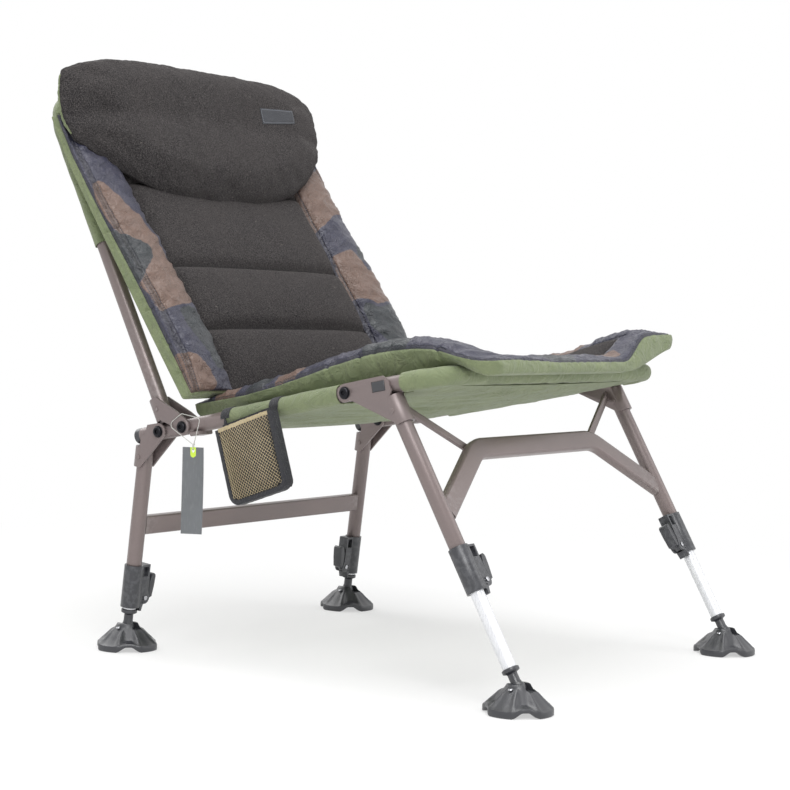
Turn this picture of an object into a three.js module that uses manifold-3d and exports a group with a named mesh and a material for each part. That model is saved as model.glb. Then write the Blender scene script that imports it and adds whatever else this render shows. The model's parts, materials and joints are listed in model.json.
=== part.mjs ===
// Folding carp chair: bent tube seat frame, tilting back rest, padded covers and four
// telescopic legs on swivelling mud feet. Millimetres, +Z up, the sitter faces -Y.
import * as THREE from 'three';
import { mergeVertices } from 'three/addons/utils/BufferGeometryUtils.js';
import ManifoldModule from 'manifold-3d';

const wasm = await ManifoldModule();
wasm.setup();

const degree = Math.PI / 180;

// General clearances
const fit = 0.3; // between two pieces that touch or slide
const overrun = 4; // how far a cut runs past the face that it opens
const weldDistance = 0.0002; // corners closer than this are one

// Tubes
const tubeRadius = 11;
const tubeWall = 1.5;
const innerLegRadius = 9;
const innerLegWall = 1.2;
const tubeSides = 12;
const boreSides = 8;
const webSides = 16;

// Seat frame, a U of tube that rises towards the front and is wider there
const railEndHeight = 304.6;
const railRise = 11.5 * degree;
const railLength = 532;
const rearHalfWidth = 269;
const frontHalfWidth = 296;
const splayStart = 130;
const splayEnd = 330;
const splayBendRadius = 170;
const frontCornerRadius = 42;
const railCapLength = 10;
const railCapRadius = 11;
const railCapPlugLength = 14;

// Pivots, measured along the rail from its rear end
const rearPivotReach = 50;
const backPivotReach = 94;
const frontPivotSetback = 134.5; // behind the rail's front run
const frontPivotReach = railLength - frontPivotSetback;

// Back rest
const backLean = 27 * degree;
const backOffset = 31.8;
const backFrameHeight = 545;
const backCornerRadius = 62;

// Legs, measured from their pivots
const rearLegTilt = 6.4 * degree;
const rearOffset = 31.4;
const rearTubeEnd = 243.3;
const frontLegTilt = 29.5 * degree;
const frontOffset = 55.6;
const frontTubeEnd = 291.6;
const innerLegLength = 200;

// Pressed brackets and their bolts
const sheet = 3.2;
const cheekGap = 0.8; // between a tube and the cheek beside it
const noseRadius = 12;
const backNoseRadius = 12.6;
const boltRadius = 4;
const boltHeadRadius = 7.2;
const boltHeadHeight = 4.4;
const boltSocketRadius = 3.4;
const boltSocketDepth = 2.4;
const rivetRadius = 2.2;
const rivetHeadRadius = 3.6;
const rivetHeadHeight = 1.4;
const rearCheekDrop = 56;
const frontCheekDrop = 73;
const backCheekRise = 58.3;
const stopBlockLength = 20;
const stopBlockHeight = 13;
const stopBlockReach = 53.5;
const stopBlockProud = 0.8;
const backStopLength = 16;
const backStopDepth = 4;

// Cross members
const rearBarHeight = 27;
const rearBarDepth = 14;
const rearBarDrop = 141;
const barWall = 1.6;
const archHeight = 29;
const archDepth = 14;
const archDrop = 115.5;
const archCornerHalfWidth = 158;
const archEndDrop = 203;
const archCornerRadius = 62;
const strutWidth = 10;
const strutThickness = 5;
const strutPinDrop = 41;
const strutPinSetback = 49;
const strutPinRadius = 3.2;
const strutPinHeadHeight = 1.5;

// Leg locks
const sleeveRadius = 13.4;
const sleeveLength = 61;
const sleeveLedge = 16;
const bossReach = 28;
const bossHalfWidth = 8;
const leverPinReach = 22.5;
const leverPinRise = 12;
const leverPinRadius = 2;
const leverSlotHalfWidth = 5.3;
const leverPaddleHalfWidth = 7.5;
const leverCamRadius = 7.2;
const leverReach = 41;
const leverTopRise = 46;
const grooveCount = 3;
const grooveWidth = 2;
const grooveDepth = 0.9;

// Mud feet and the ball fittings in the inner legs
const footRadius = 45;
const ballHeight = 30;
const ballRadius = 10;
const stemRadius = 7.2;
const collarRadius = 11.4;
const collarHeight = 5;
const collarRise = 22; // from the ball's centre to the collar
const ballPlugLength = 14;
const socketHornRise = 7;
const footNeckRadius = 15;
const footRimHeight = 9;
const footSkin = 3.4;
const footPadWidth = 8;
const footArchHeight = 7;
const footLobes = 4;
const footLobeDip = 4.5;
const socketRings = 8;
const footScrewRadius = 2.6;
const footScrewHeight = 2.2;
const footScrewReach = 19;

// Cloth
const clothWall = 1.3;
const seatSlingStart = 176;
const bracketNotchBefore = 15.5; // from the front pivot
const bracketNotchAfter = 84.5;
const bracketNotchStart = frontPivotReach - bracketNotchBefore;
const bracketNotchEnd = frontPivotReach + bracketNotchAfter;
const sagRim = 9;
const sagRear = 12;
const sagFront = 20;
const slingPanelWall = 2;
const backSleeveStart = 302;

// Seat pad, measured in the rail's own frame
const seatPadRear = 92;
const seatPadOverhang = 64; // in front of the front rail
const seatPadFront = railLength + seatPadOverhang;
const seatPadInset = 1; // inside the rails' rear spacing
const seatPadRearInset = 20;
const seatPadHalfWidth = rearHalfWidth - seatPadInset;
const seatPadRearHalfWidth = rearHalfWidth - seatPadRearInset;
const seatPadBaseRise = 13.5;
const seatPadRearRamp = 75;
const seatPadSideRise = 50; // the sides' highest edge above the rails' centre line
const seatPadDroop = 22; // of the lip in front of the front rail
const seatPadDroopRun = 45;
const seatPadCurl = 12; // lift of the left front corner
const seatBolsterWidth = 74;
const seatBolsterCrown = 12;
const seatCentreCrown = 8;
const padDrawIn = 4;

// Back pad, measured up the back tube from its pivot
const backPadLow = 30;
const backPadHigh = 500;
const backPadLowOverhang = 25; // outside the back tubes at its lower end
const backPadOverhang = 34; // outside them higher up
const backPadLowHalfWidth = rearHalfWidth + backPadLowOverhang;
const backPadHighHalfWidth = rearHalfWidth + backPadOverhang;
const backPadWall = 18;
const backPadLowSetForward = 43; // of its lower end, so that it hangs clear of the tubes
const backPadSetEnd = 430;
const bolsterWidth = 94;
const bolsterCrown = 22;
const channelLow = 137;
const channelHigh = 246;
const channelTop = 392;
const fleeceCrown = 20;
const channelDepth = 9;

// Head pillow
const pillowOverhang = 35;
const pillowHalfWidth = rearHalfWidth + pillowOverhang;
const pillowCentreRise = 487;
const pillowCentreForward = 35; // in front of the back tube's centre line
const pillowLean = 15 * degree;
const pillowLowLean = 6 * degree;
const pillowCornerSetback = 4;
const pillowPinchShare = 0.04;
const pillowTopRise = 98;
const pillowSideTopRise = 70;
const pillowDrop = 122;
const pillowSideDrop = 34;
const pillowFrontDepth = 36;
const pillowRearDepth = 6;
const labelThickness = 1.2;
const labelLift = 1;

// Side pocket, hung on the right rail
const pocketReach = 226;
const pocketWidth = 113;
const pocketDrop = 117; // from the rail's centre line down to the pocket's lower edge
const pocketTilt = 6.5 * degree;
const pocketCornerRadius = 15;
const pocketPanelWall = 1.6;
const pocketPanelTopDrop = 3;
const pocketRim = 8;
const pocketDepth = 14;
const pocketMouthDrop = 17; // from the rail's centre line down to the upper edge of the net
const strapWidth = 17;
const strapReach = 6; // past the rail's centre line, towards the pad
const netWall = 1.3;
const netColumns = 6;
const netRows = 5;
const netStrand = 3.4;

// Hang tag, its string and the loop that the string makes round the back bolt
const tagReach = 123.4;
const tagWidth = 30;
const tagHeight = 120;
const tagThickness = 0.9;
const tagTopDrop = 32;
const tagOut = 23.5; // from the rail's centre line out to the tag
const tagTurn = 25 * degree;
const tagHoleRadius = 2.2;
const tagHoleDrop = 5;
const tagTabWidth = 8;
const tagTabHeight = 14;
const tagTabThickness = 0.5;
const stringRadius = 0.6;
const knotRadius = 1.5;
const loopFront = 33.8; // the loop's front, top and rear, measured from the bolt
const loopFrontRise = 13.7;
const loopTopRise = 18.7;
const loopRear = 24.2;
const loopRearRise = 1.7;
const loopBendRadius = 6;

const paint = new THREE.MeshStandardMaterial({ color: 0x857874, roughness: 0.42, metalness: 0.55 });
const darkPlastic = new THREE.MeshStandardMaterial({ color: 0x4e5057, roughness: 0.5, metalness: 0 });
const blackSteel = new THREE.MeshStandardMaterial({ color: 0x2b2b2d, roughness: 0.4, metalness: 0.7 });
const brightSteel = new THREE.MeshStandardMaterial({ color: 0xc9cbcf, roughness: 0.25, metalness: 1 });
const aluminium = new THREE.MeshStandardMaterial({ color: 0xe2e3e6, roughness: 0.35, metalness: 0.7 });
const greenCloth = new THREE.MeshStandardMaterial({ color: 0x81906a, roughness: 0.85, metalness: 0 });
const camoCloth = new THREE.MeshStandardMaterial({ color: 0x4b4a55, roughness: 0.6, metalness: 0 });
const fleece = new THREE.MeshStandardMaterial({ color: 0x403b38, roughness: 0.98, metalness: 0 });
const blackBinding = new THREE.MeshStandardMaterial({ color: 0x35363c, roughness: 0.8, metalness: 0 });
const tanNet = new THREE.MeshStandardMaterial({ color: 0xb39b6d, roughness: 0.75, metalness: 0 });
const greyCard = new THREE.MeshStandardMaterial({ color: 0x77797c, roughness: 0.7, metalness: 0 });
const whiteString = new THREE.MeshStandardMaterial({ color: 0xdededa, roughness: 0.8, metalness: 0 });

// Closed solids
function solid(geometry) {
  const bare = geometry.index ? geometry.toNonIndexed() : geometry.clone();
  bare.deleteAttribute('normal');
  bare.deleteAttribute('uv');
  const merged = mergeVertices(bare, weldDistance);
  const corners = merged.attributes.position.array;
  const faces = Uint32Array.from(merged.index.array);
  let volume = 0;
  const [a, b, c] = [new THREE.Vector3(), new THREE.Vector3(), new THREE.Vector3()];
  for (let i = 0; i < faces.length; i += 3) {
    a.fromArray(corners, 3 * faces[i]);
    b.fromArray(corners, 3 * faces[i + 1]);
    c.fromArray(corners, 3 * faces[i + 2]);
    volume += a.dot(b.cross(c));
  }
  if (volume < 0) {
    for (let i = 0; i < faces.length; i += 3) [faces[i], faces[i + 1]] = [faces[i + 1], faces[i]];
  }
  return new wasm.Manifold(new wasm.Mesh({
    numProp: 3, vertProperties: Float32Array.from(corners), triVerts: faces,
  }));
}

function mesh(name, shape, material) {
  const { vertProperties, triVerts } = shape.getMesh();
  const geometry = new THREE.BufferGeometry();
  geometry.setAttribute('position', new THREE.BufferAttribute(Float32Array.from(vertProperties), 3));
  geometry.setIndex(new THREE.BufferAttribute(Uint32Array.from(triVerts), 1));
  geometry.computeVertexNormals();
  const piece = new THREE.Mesh(geometry, material);
  piece.name = name;
  return piece;
}

const join = (...shapes) => shapes.reduce((all, shape) => all.add(shape));

function lathe(profile, sides = tubeSides) {
  const points = profile.map(([radius, height]) => new THREE.Vector2(radius, height));
  return solid(new THREE.LatheGeometry(points, sides).rotateX(Math.PI / 2));
}

const rod = (radius, low, high, sides) => lathe([[0, low], [radius, low], [radius, high], [0, high]], sides);

const pipe = (outer, inner, low, high, sides) => lathe(
  [[inner, low], [outer, low], [outer, high], [inner, high], [inner, low]], sides,
);

// A cylinder along X through a point of the YZ plane
function crossRod(radius, low, high, y = 0, z = 0, sides = tubeSides) {
  return rod(radius, low, high, sides).rotate([0, 90, 0]).translate([0, y, z]);
}

function block(x0, x1, y0, y1, z0, z1) {
  const box = new THREE.BoxGeometry(x1 - x0, y1 - y0, z1 - z0);
  return solid(box.translate((x0 + x1) / 2, (y0 + y1) / 2, (z0 + z1) / 2));
}

function extrusion(outline, depth) {
  const shape = new THREE.Shape(outline.map(([x, y]) => new THREE.Vector2(x, y)));
  return new THREE.ExtrudeGeometry(shape, { depth, bevelEnabled: false }).translate(0, 0, -depth / 2);
}

// A slab with its outline in the YZ plane, or in the XZ plane, centred on that plane
const sideSlab = (outline, thickness) => solid(
  extrusion(outline, thickness).rotateX(Math.PI / 2).rotateZ(Math.PI / 2),
);
const frontSlab = (outline, thickness) => solid(extrusion(outline, thickness).rotateX(Math.PI / 2));

function arc(centreX, centreY, radius, from, to, steps) {
  return Array.from({ length: steps + 1 }, (unused, i) => {
    const angle = from + (to - from) * (i / steps);
    return [centreX + radius * Math.cos(angle), centreY + radius * Math.sin(angle)];
  });
}

// A route of straight runs whose corners are rounded, as the stations of a swept tube
function roundedRoute(corners) {
  const stations = [corners[0].at.clone()];
  for (let i = 1; i < corners.length - 1; i += 1) {
    const { at, radius, steps } = corners[i];
    const back = corners[i - 1].at.clone().sub(at).normalize();
    const on = corners[i + 1].at.clone().sub(at).normalize();
    const half = back.angleTo(on) / 2;
    const setback = radius / Math.tan(half);
    const middle = back.clone().add(on).normalize().multiplyScalar(radius / Math.sin(half)).add(at);
    const start = back.clone().multiplyScalar(setback).add(at).sub(middle);
    const end = on.clone().multiplyScalar(setback).add(at).sub(middle);
    const sweep = start.angleTo(end);
    for (let k = 0; k <= steps; k += 1) {
      const t = k / steps;
      const point = start.clone().multiplyScalar(Math.sin((1 - t) * sweep))
        .addScaledVector(end, Math.sin(t * sweep)).divideScalar(Math.sin(sweep));
      stations.push(point.add(middle));
    }
  }
  stations.push(corners[corners.length - 1].at.clone());
  return stations;
}

class StationCurve extends THREE.Curve {
  constructor(stations) {
    super();
    this.stations = stations;
  }

  getPoint(t, target = new THREE.Vector3()) {
    const place = t * (this.stations.length - 1);
    const i = Math.min(Math.floor(place), this.stations.length - 2);
    return target.lerpVectors(this.stations[i], this.stations[i + 1], place - i);
  }

  getPointAt(t, target) {
    return this.getPoint(t, target);
  }

  getTangentAt(t, target = new THREE.Vector3()) {
    const last = this.stations.length - 1;
    const i = Math.round(t * last);
    const before = this.stations[Math.max(i - 1, 0)];
    const here = this.stations[i];
    const after = this.stations[Math.min(i + 1, last)];
    target.set(0, 0, 0);
    if (i > 0) target.add(here.clone().sub(before).normalize());
    if (i < last) target.add(after.clone().sub(here).normalize());
    return target.normalize();
  }
}

function circle(radius, sides) {
  return arc(0, 0, radius, 0, 2 * Math.PI * (1 - 1 / sides), sides - 1);
}

function sweep(stations, outline, bore) {
  const shape = new THREE.Shape(outline.map(([x, y]) => new THREE.Vector2(x, y)));
  if (bore) shape.holes.push(new THREE.Path(bore.map(([x, y]) => new THREE.Vector2(x, y))));
  return solid(new THREE.ExtrudeGeometry(shape, {
    steps: stations.length - 1, extrudePath: new StationCurve(stations), curveSegments: 1,
  }));
}

const sweptPipe = (stations, outer, inner, sides = tubeSides, innerSides = boreSides) => sweep(
  stations, circle(outer, sides), inner && circle(inner, innerSides),
);
const sweptSleeve = (stations) => sweptPipe(stations, sleeveOuter, tubeRadius + fit, tubeSides, tubeSides);

// A solid between two grids of points that share their count of rows and columns
function quilt(columnShares, rowShares, front, rear, waist) {
  const [columns, rows] = [columnShares.length, rowShares.length];
  const points = [];
  const grid = (at) => rowShares.map((v) => columnShares.map((u) => points.push(at(u, v)) - 1));
  const frontGrid = grid(front);
  const rearGrid = grid(rear);
  const faces = [];
  const quad = (a, b, c, d) => faces.push(a, b, c, a, c, d);
  for (let j = 0; j + 1 < rows; j += 1) {
    for (let i = 0; i + 1 < columns; i += 1) {
      quad(frontGrid[j][i], frontGrid[j][i + 1], frontGrid[j + 1][i + 1], frontGrid[j + 1][i]);
      quad(rearGrid[j][i + 1], rearGrid[j][i], rearGrid[j + 1][i], rearGrid[j + 1][i + 1]);
    }
  }
  const border = [];
  for (let i = 0; i + 1 < columns; i += 1) border.push([0, i]);
  for (let j = 0; j + 1 < rows; j += 1) border.push([j, columns - 1]);
  for (let i = columns - 1; i > 0; i -= 1) border.push([rows - 1, i]);
  for (let j = rows - 1; j > 0; j -= 1) border.push([j, 0]);
  const middle = border.map(([j, i]) => (waist
    ? points.push(waist(points[frontGrid[j][i]], points[rearGrid[j][i]])) - 1 : -1));
  border.forEach(([j, i], k) => {
    const next = (k + 1) % border.length;
    const [jn, in_] = border[next];
    if (waist) {
      quad(frontGrid[jn][in_], frontGrid[j][i], middle[k], middle[next]);
      quad(middle[next], middle[k], rearGrid[j][i], rearGrid[jn][in_]);
    } else {
      quad(frontGrid[jn][in_], frontGrid[j][i], rearGrid[j][i], rearGrid[jn][in_]);
    }
  });
  const geometry = new THREE.BufferGeometry().setFromPoints(points);
  geometry.setIndex(faces);
  return solid(geometry);
}

// The value at x on a line through pairs of x and value
function along(pairs, x) {
  if (x <= pairs[0][0]) return pairs[0][1];
  for (let i = 1; i < pairs.length; i += 1) {
    if (x <= pairs[i][0]) {
      const [[x0, v0], [x1, v1]] = [pairs[i - 1], pairs[i]];
      return v0 + (v1 - v0) * (x - x0) / (x1 - x0);
    }
  }
  return pairs[pairs.length - 1][1];
}

const smooth = (t) => THREE.MathUtils.smoothstep(t, 0, 1);
const dome = (t) => 1 - (2 * t - 1) ** 4; // 0 at both seams and full between them

const v3 = (x, y, z) => new THREE.Vector3(x, y, z);

// The chair is built in nested frames: the seat's rails first, everything else on them
const chair = new THREE.Group();
const seat = new THREE.Group();
seat.position.z = railEndHeight;
seat.rotation.x = -railRise;
chair.add(seat);

const back = new THREE.Group();
back.position.y = -backPivotReach;
back.rotation.x = railRise - backLean;
const rearLegs = new THREE.Group();
rearLegs.position.y = -rearPivotReach;
rearLegs.rotation.x = railRise + rearLegTilt;
const frontLegs = new THREE.Group();
frontLegs.position.y = -frontPivotReach;
frontLegs.rotation.x = railRise - frontLegTilt;
seat.add(back, rearLegs, frontLegs);

const sides = [[-1, 'right'], [1, 'left']]; // the sitter's right is at -X
const place = (parent, piece, x = 0, y = 0, z = 0) => {
  piece.position.set(x, y, z);
  parent.add(piece);
  return piece;
};

// Half the frame's width at a distance along the rail
function railHalfWidth(reach) {
  return along([[splayStart, rearHalfWidth], [splayEnd, frontHalfWidth]], reach);
}

// Seat frame
function railRoute(start) {
  const corner = (x, reach, radius, steps) => ({ at: v3(x, -reach, 0), radius, steps });
  const half = (sign) => [
    corner(sign * railHalfWidth(start), start),
    corner(sign * rearHalfWidth, splayStart, splayBendRadius, 1),
    corner(sign * frontHalfWidth, splayEnd, splayBendRadius, 1),
    corner(sign * frontHalfWidth, railLength, frontCornerRadius, 5),
  ].filter((point, i) => i === 0 || -point.at.y > start);
  return roundedRoute([...half(-1), ...half(1).reverse()]);
}

const boltBore = (boltRadius + fit) / Math.cos(Math.PI / boreSides);
const railBores = (reach, halfWidth) => sides.map(([sign]) => crossRod(
  boltBore, sign * halfWidth - tubeRadius - overrun, sign * halfWidth + tubeRadius + overrun,
  -reach, 0, boreSides,
));
const boreAll = (shape, bores) => bores.reduce((cut, bore) => cut.subtract(bore), shape);

let seatTube = sweptPipe(railRoute(railCapLength + fit), tubeRadius, tubeRadius - tubeWall);
seatTube = boreAll(seatTube, [
  ...railBores(rearPivotReach, rearHalfWidth),
  ...railBores(backPivotReach, rearHalfWidth),
  ...railBores(frontPivotReach, frontHalfWidth),
]);
const cheekInner = tubeRadius + cheekGap;
const cheekOuter = cheekInner + sheet;
const backStopStart = backPivotReach + backNoseRadius + fit;
for (const [sign] of sides) {
  const middle = sign * rearHalfWidth;
  const lug = block(
    middle - cheekOuter, middle + cheekOuter, -backStopStart - backStopLength, -backStopStart,
    -tubeRadius - backStopDepth, -tubeRadius + tubeWall,
  );
  const bore = crossRod(tubeRadius - tubeWall / 2, 0, railLength).rotate([0, 0, 90])
    .translate([middle, -railLength, 0]);
  seatTube = seatTube.add(lug.subtract(bore));
}
place(seat, mesh('seat_frame_tube', seatTube, paint));

// Caps that plug the open rear ends of the rails
for (const [sign, side] of sides) {
  const bore = (tubeRadius - tubeWall) * Math.cos(Math.PI / boreSides) - fit;
  const cap = lathe([
    [0, 0], [railCapRadius - tubeWall, 0], [railCapRadius, tubeWall], [railCapRadius, railCapLength],
    [bore, railCapLength], [bore, railCapLength + railCapPlugLength], [0, railCapLength + railCapPlugLength],
  ]).rotate([90, 0, 0]);
  place(seat, mesh(`rail_end_cap_${side}`, cap, darkPlastic), sign * rearHalfWidth);
}

// Bolts through the brackets and the rails
function pivotBolt() {
  const reach = cheekOuter + fit;
  const dome_ = boltHeadHeight / 3;
  const body = lathe([
    [0, -reach - boltHeadHeight], [boltHeadRadius - dome_, -reach - boltHeadHeight],
    [boltHeadRadius, -reach - boltHeadHeight + dome_], [boltHeadRadius, -reach], [boltRadius, -reach],
    [boltRadius, reach], [boltHeadRadius, reach], [boltHeadRadius, reach + boltHeadHeight - dome_],
    [boltHeadRadius - dome_, reach + boltHeadHeight], [0, reach + boltHeadHeight],
  ], 10);
  const socket = (sign) => rod(boltSocketRadius, 0, boltSocketDepth + overrun, 6)
    .translate([0, 0, sign > 0 ? reach + boltHeadHeight - boltSocketDepth
      : -reach - boltHeadHeight - overrun]);
  return body.subtract(socket(1)).subtract(socket(-1)).rotate([0, 90, 0]);
}

// A pressed bracket: two cheeks on the bolt and a round web that holds a leg or back tube
function bracket({ outline, offset, low, high, rivetRise, window: opening, tube }) {
  const middle = (cheekInner + cheekOuter) / 2;
  let shape = join(
    sideSlab(outline, sheet).translate([middle, 0, 0]),
    sideSlab(outline, sheet).translate([-middle, 0, 0]),
  );
  const outward = Math.sign(offset);
  const wrap = pipe(cheekOuter, cheekInner, low, high, webSides).translate([0, offset, 0]);
  const [seam, beyond] = [offset - outward * sheet / 2, offset + outward * 2 * cheekOuter];
  const keep = block(
    -cheekOuter - overrun, cheekOuter + overrun, Math.min(seam, beyond), Math.max(seam, beyond),
    low - overrun, high + overrun,
  );
  shape = shape.add(wrap.intersect(keep));
  shape = shape.subtract(crossRod(boltBore, -cheekOuter - overrun, cheekOuter + overrun, 0, 0, boreSides));
  if (opening) shape = shape.subtract(opening);
  const rivetReach = cheekOuter + rivetHeadHeight;
  const rivet = join(
    crossRod(rivetRadius, -cheekOuter, cheekOuter, offset, rivetRise, boreSides),
    crossRod(rivetHeadRadius, -rivetReach, -cheekOuter + sheet / 2, offset, rivetRise, boreSides),
    crossRod(rivetHeadRadius, cheekOuter - sheet / 2, rivetReach, offset, rivetRise, boreSides),
  );
  return { shape: shape.add(rivet), tube: tube.subtract(
    crossRod(rivetRadius + fit, -cheekOuter, cheekOuter, offset, rivetRise, boreSides),
  ) };
}

const scaled = (shares, width, height) => shares.map(([y, z]) => [y * width, z * height]);

// Back rest: frame, brackets and covers
const backTubeLow = backOffset * Math.tan(backLean - railRise)
  + (tubeRadius + fit) / Math.cos(backLean - railRise) + tubeRadius * Math.tan(backLean - railRise);
// A point up the back tube, a distance in front of its centre line
const backPoint = (x, rise, forward) => v3(x, backOffset - forward, rise);
function backRoute(start) {
  const at = (x, rise) => backPoint(x, rise, 0);
  const half = (sign) => [
    { at: at(sign * rearHalfWidth, start) },
    { at: at(sign * rearHalfWidth, backFrameHeight), radius: backCornerRadius, steps: 5 },
  ];
  return roundedRoute([...half(-1), ...half(1).reverse()]);
}
let backTube = sweptPipe(backRoute(backTubeLow), tubeRadius, tubeRadius - tubeWall);
const backCheekShares = [
  [0.85, 1], [-0.06, 0.37], [-0.3, 0.16],
];
const backWebLow = (backOffset + cheekOuter) * Math.tan(backLean - railRise)
  + (tubeRadius + fit) / Math.cos(backLean - railRise);
const backNoseTurn = [150 * degree, 380 * degree];
const backOutline = [
  [backOffset, backWebLow], [backOffset, backCheekRise],
  ...scaled(backCheekShares, backOffset, backCheekRise),
  ...arc(0, 0, backNoseRadius, ...backNoseTurn, 8),
];
for (const [sign, side] of sides) {
  const made = bracket({
    outline: backOutline, offset: backOffset, low: backWebLow, high: backCheekRise,
    rivetRise: (backWebLow + backCheekRise) / 2, tube: backTube.translate([-sign * rearHalfWidth, 0, 0]),
  });
  backTube = made.tube.translate([sign * rearHalfWidth, 0, 0]);
  place(back, mesh(`back_bracket_${side}`, made.shape, paint), sign * rearHalfWidth);
  place(back, mesh(`back_pivot_bolt_${side}`, pivotBolt(), blackSteel), sign * rearHalfWidth);
}
place(back, mesh('back_frame_tube', backTube, paint));

// Leg frames
// The height of the rail's lower side in a leg's frame, at a distance from the pivot
function railUnderside(distance, slope) {
  return -distance * Math.tan(slope) - (tubeRadius + fit) / Math.cos(slope);
}
const rearSlope = railRise + rearLegTilt;
const frontSlope = frontLegTilt - railRise;
const rearWebTop = railUnderside(rearOffset + cheekOuter, rearSlope);
const frontWebTop = railUnderside(frontOffset + cheekOuter, frontSlope);
const rearTubeTop = railUnderside(rearOffset + tubeRadius, rearSlope);
const frontTubeTop = railUnderside(frontOffset + tubeRadius, frontSlope);

const rearCheekShares = [[0.86, -1], [0.55, -0.76]];
const rearTailShares = [[0.96, -0.24], [0.76, -0.14], [0.68, 0.11]];
const rearNoseTurn = [75 * degree, 215 * degree];
const rearOutline = [
  [rearOffset, rearWebTop], ...scaled(rearTailShares, rearOffset, rearCheekDrop),
  ...arc(0, 0, noseRadius, ...rearNoseTurn, 8),
  ...scaled(rearCheekShares, rearOffset, rearCheekDrop).reverse(), [rearOffset, -rearCheekDrop],
];
const frontLowShares = [[-0.59, -0.63]];
const frontHornShares = [[-1.09, -0.48], [-1.19, -0.41], [-1.21, -0.2], [-1.13, -0.1]];
const frontNoseTurn = [108 * degree, -105 * degree];
const frontOutline = [
  [-frontOffset, frontWebTop], ...scaled(frontHornShares, frontOffset, frontCheekDrop),
  ...arc(0, 0, noseRadius, ...frontNoseTurn, 8),
  ...scaled(frontLowShares, frontOffset, frontCheekDrop), [-frontOffset, -frontCheekDrop],
];

const pivotHeight = (reach) => railEndHeight + reach * Math.sin(railRise);
const ballReach = (reach, offset, tilt) => (
  pivotHeight(reach) + offset * Math.sin(tilt) - ballHeight) / Math.cos(tilt);
const rearBallReach = ballReach(rearPivotReach, rearOffset, rearLegTilt);
const frontBallReach = ballReach(frontPivotReach, -frontOffset, -frontLegTilt);

// Leg lock: a split sleeve with a boss on its inner side, a cam lever and its pin
const bossTipShares = [[0.44, -0.1], [0.57, -0.107], [0.68, 0.05]];
const bossFaceShares = [[1, 0.36], [1, 0.67]];
const bossStepShare = 0.69;
const bossNoseTurn = [-100 * degree, 15 * degree];
function lockSleeve() {
  const profile = [
    [0, 0], [sleeveRadius - grooveDepth, 0], ...scaled(bossTipShares, bossReach, sleeveLength),
    ...arc(leverPinReach, leverPinRise, leverCamRadius + tubeWall, ...bossNoseTurn, 6),
    ...scaled(bossFaceShares, bossReach, sleeveLength),
    [bossReach - grooveDepth, sleeveLength * bossStepShare], [bossReach - grooveDepth, sleeveLength],
    [0, sleeveLength],
  ];
  let shape = frontSlab(profile, 2 * bossHalfWidth).add(rod(sleeveRadius, 0, sleeveLength, webSides));
  shape = shape.subtract(rod(tubeRadius + fit, sleeveLedge, sleeveLength + overrun, webSides));
  shape = shape.subtract(rod(innerLegRadius + fit, -sleeveLength / 2, sleeveLedge + fit, webSides));
  // Slot for the cam and the hollow sides of the ear above it
  shape = shape.subtract(block(
    sleeveRadius + fit, bossReach + overrun, -leverSlotHalfWidth, leverSlotHalfWidth,
    leverPinRise - leverCamRadius - tubeWall, sleeveLength * 0.64,
  ));
  for (const sign of [-1, 1]) {
    const inner = sign * grooveWidth;
    const outer = sign * (bossHalfWidth + overrun);
    shape = shape.subtract(block(
      sleeveRadius, bossReach - 2 * grooveWidth, Math.min(inner, outer), Math.max(inner, outer),
      sleeveLength * 0.72, sleeveLength * 0.95,
    ));
    for (let i = 0; i < grooveCount; i += 1) {
      const low = leverPinRise - leverCamRadius + i * 2 * grooveWidth;
      const face = sign * (bossHalfWidth - grooveDepth);
      shape = shape.subtract(block(
        sleeveRadius + grooveDepth, leverPinReach - leverPinRadius - grooveWidth, Math.min(face, outer),
        Math.max(face, outer), low, low + grooveWidth,
      ));
    }
  }
  const bore = rod(leverPinRadius + fit, -bossHalfWidth - overrun, bossHalfWidth + overrun, 10)
    .rotate([90, 0, 0]).translate([leverPinReach, 0, leverPinRise]);
  return shape.subtract(bore);
}

// The lever, about its pin
const leverDipShare = 0.02;
const leverRootShare = 0.42;
const leverFaceShares = [[1, 0.3], [1, 0.66]];
const leverBackShares = [[0.62, 1], [0.8, 1.03], [0.96, 0.97], [1, 0.88], [0.93, 0.5], [0.76, 0.03]];
const leverArmShares = [[0.6, -0.02], [0.76, 0.03], [0.8, 0.3]];
const leverCamTurn = [95 * degree, 300 * degree];
function lockLever() {
  const inner = bossReach + 2 * fit + grooveDepth - leverPinReach;
  const outer = leverReach - leverPinReach;
  const rise = leverTopRise - leverPinRise;
  const paddle = [
    [inner + grooveDepth * 3, -rise * leverDipShare], ...scaled(leverFaceShares, inner, rise),
    ...scaled(leverBackShares, outer, rise),
  ];
  const arm = [
    ...arc(0, 0, leverCamRadius, ...leverCamTurn, 10), ...scaled(leverArmShares, outer, rise),
    [inner + grooveDepth, rise * leverRootShare],
  ];
  const cam = frontSlab(arm, 2 * (leverSlotHalfWidth - fit));
  const bore = rod(leverPinRadius + fit, -bossHalfWidth, bossHalfWidth, 10).rotate([90, 0, 0]);
  return frontSlab(paddle, 2 * leverPaddleHalfWidth).add(cam).subtract(bore);
}

function leverPin() {
  const head = leverPinRadius + 2 * fit + grooveDepth;
  const reach = bossHalfWidth + fit;
  return lathe([
    [0, -reach - grooveDepth], [head, -reach - grooveDepth], [head, -reach], [leverPinRadius, -reach],
    [leverPinRadius, reach], [head, reach], [head, reach + grooveDepth], [0, reach + grooveDepth],
  ], boreSides).rotate([90, 0, 0]);
}

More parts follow.
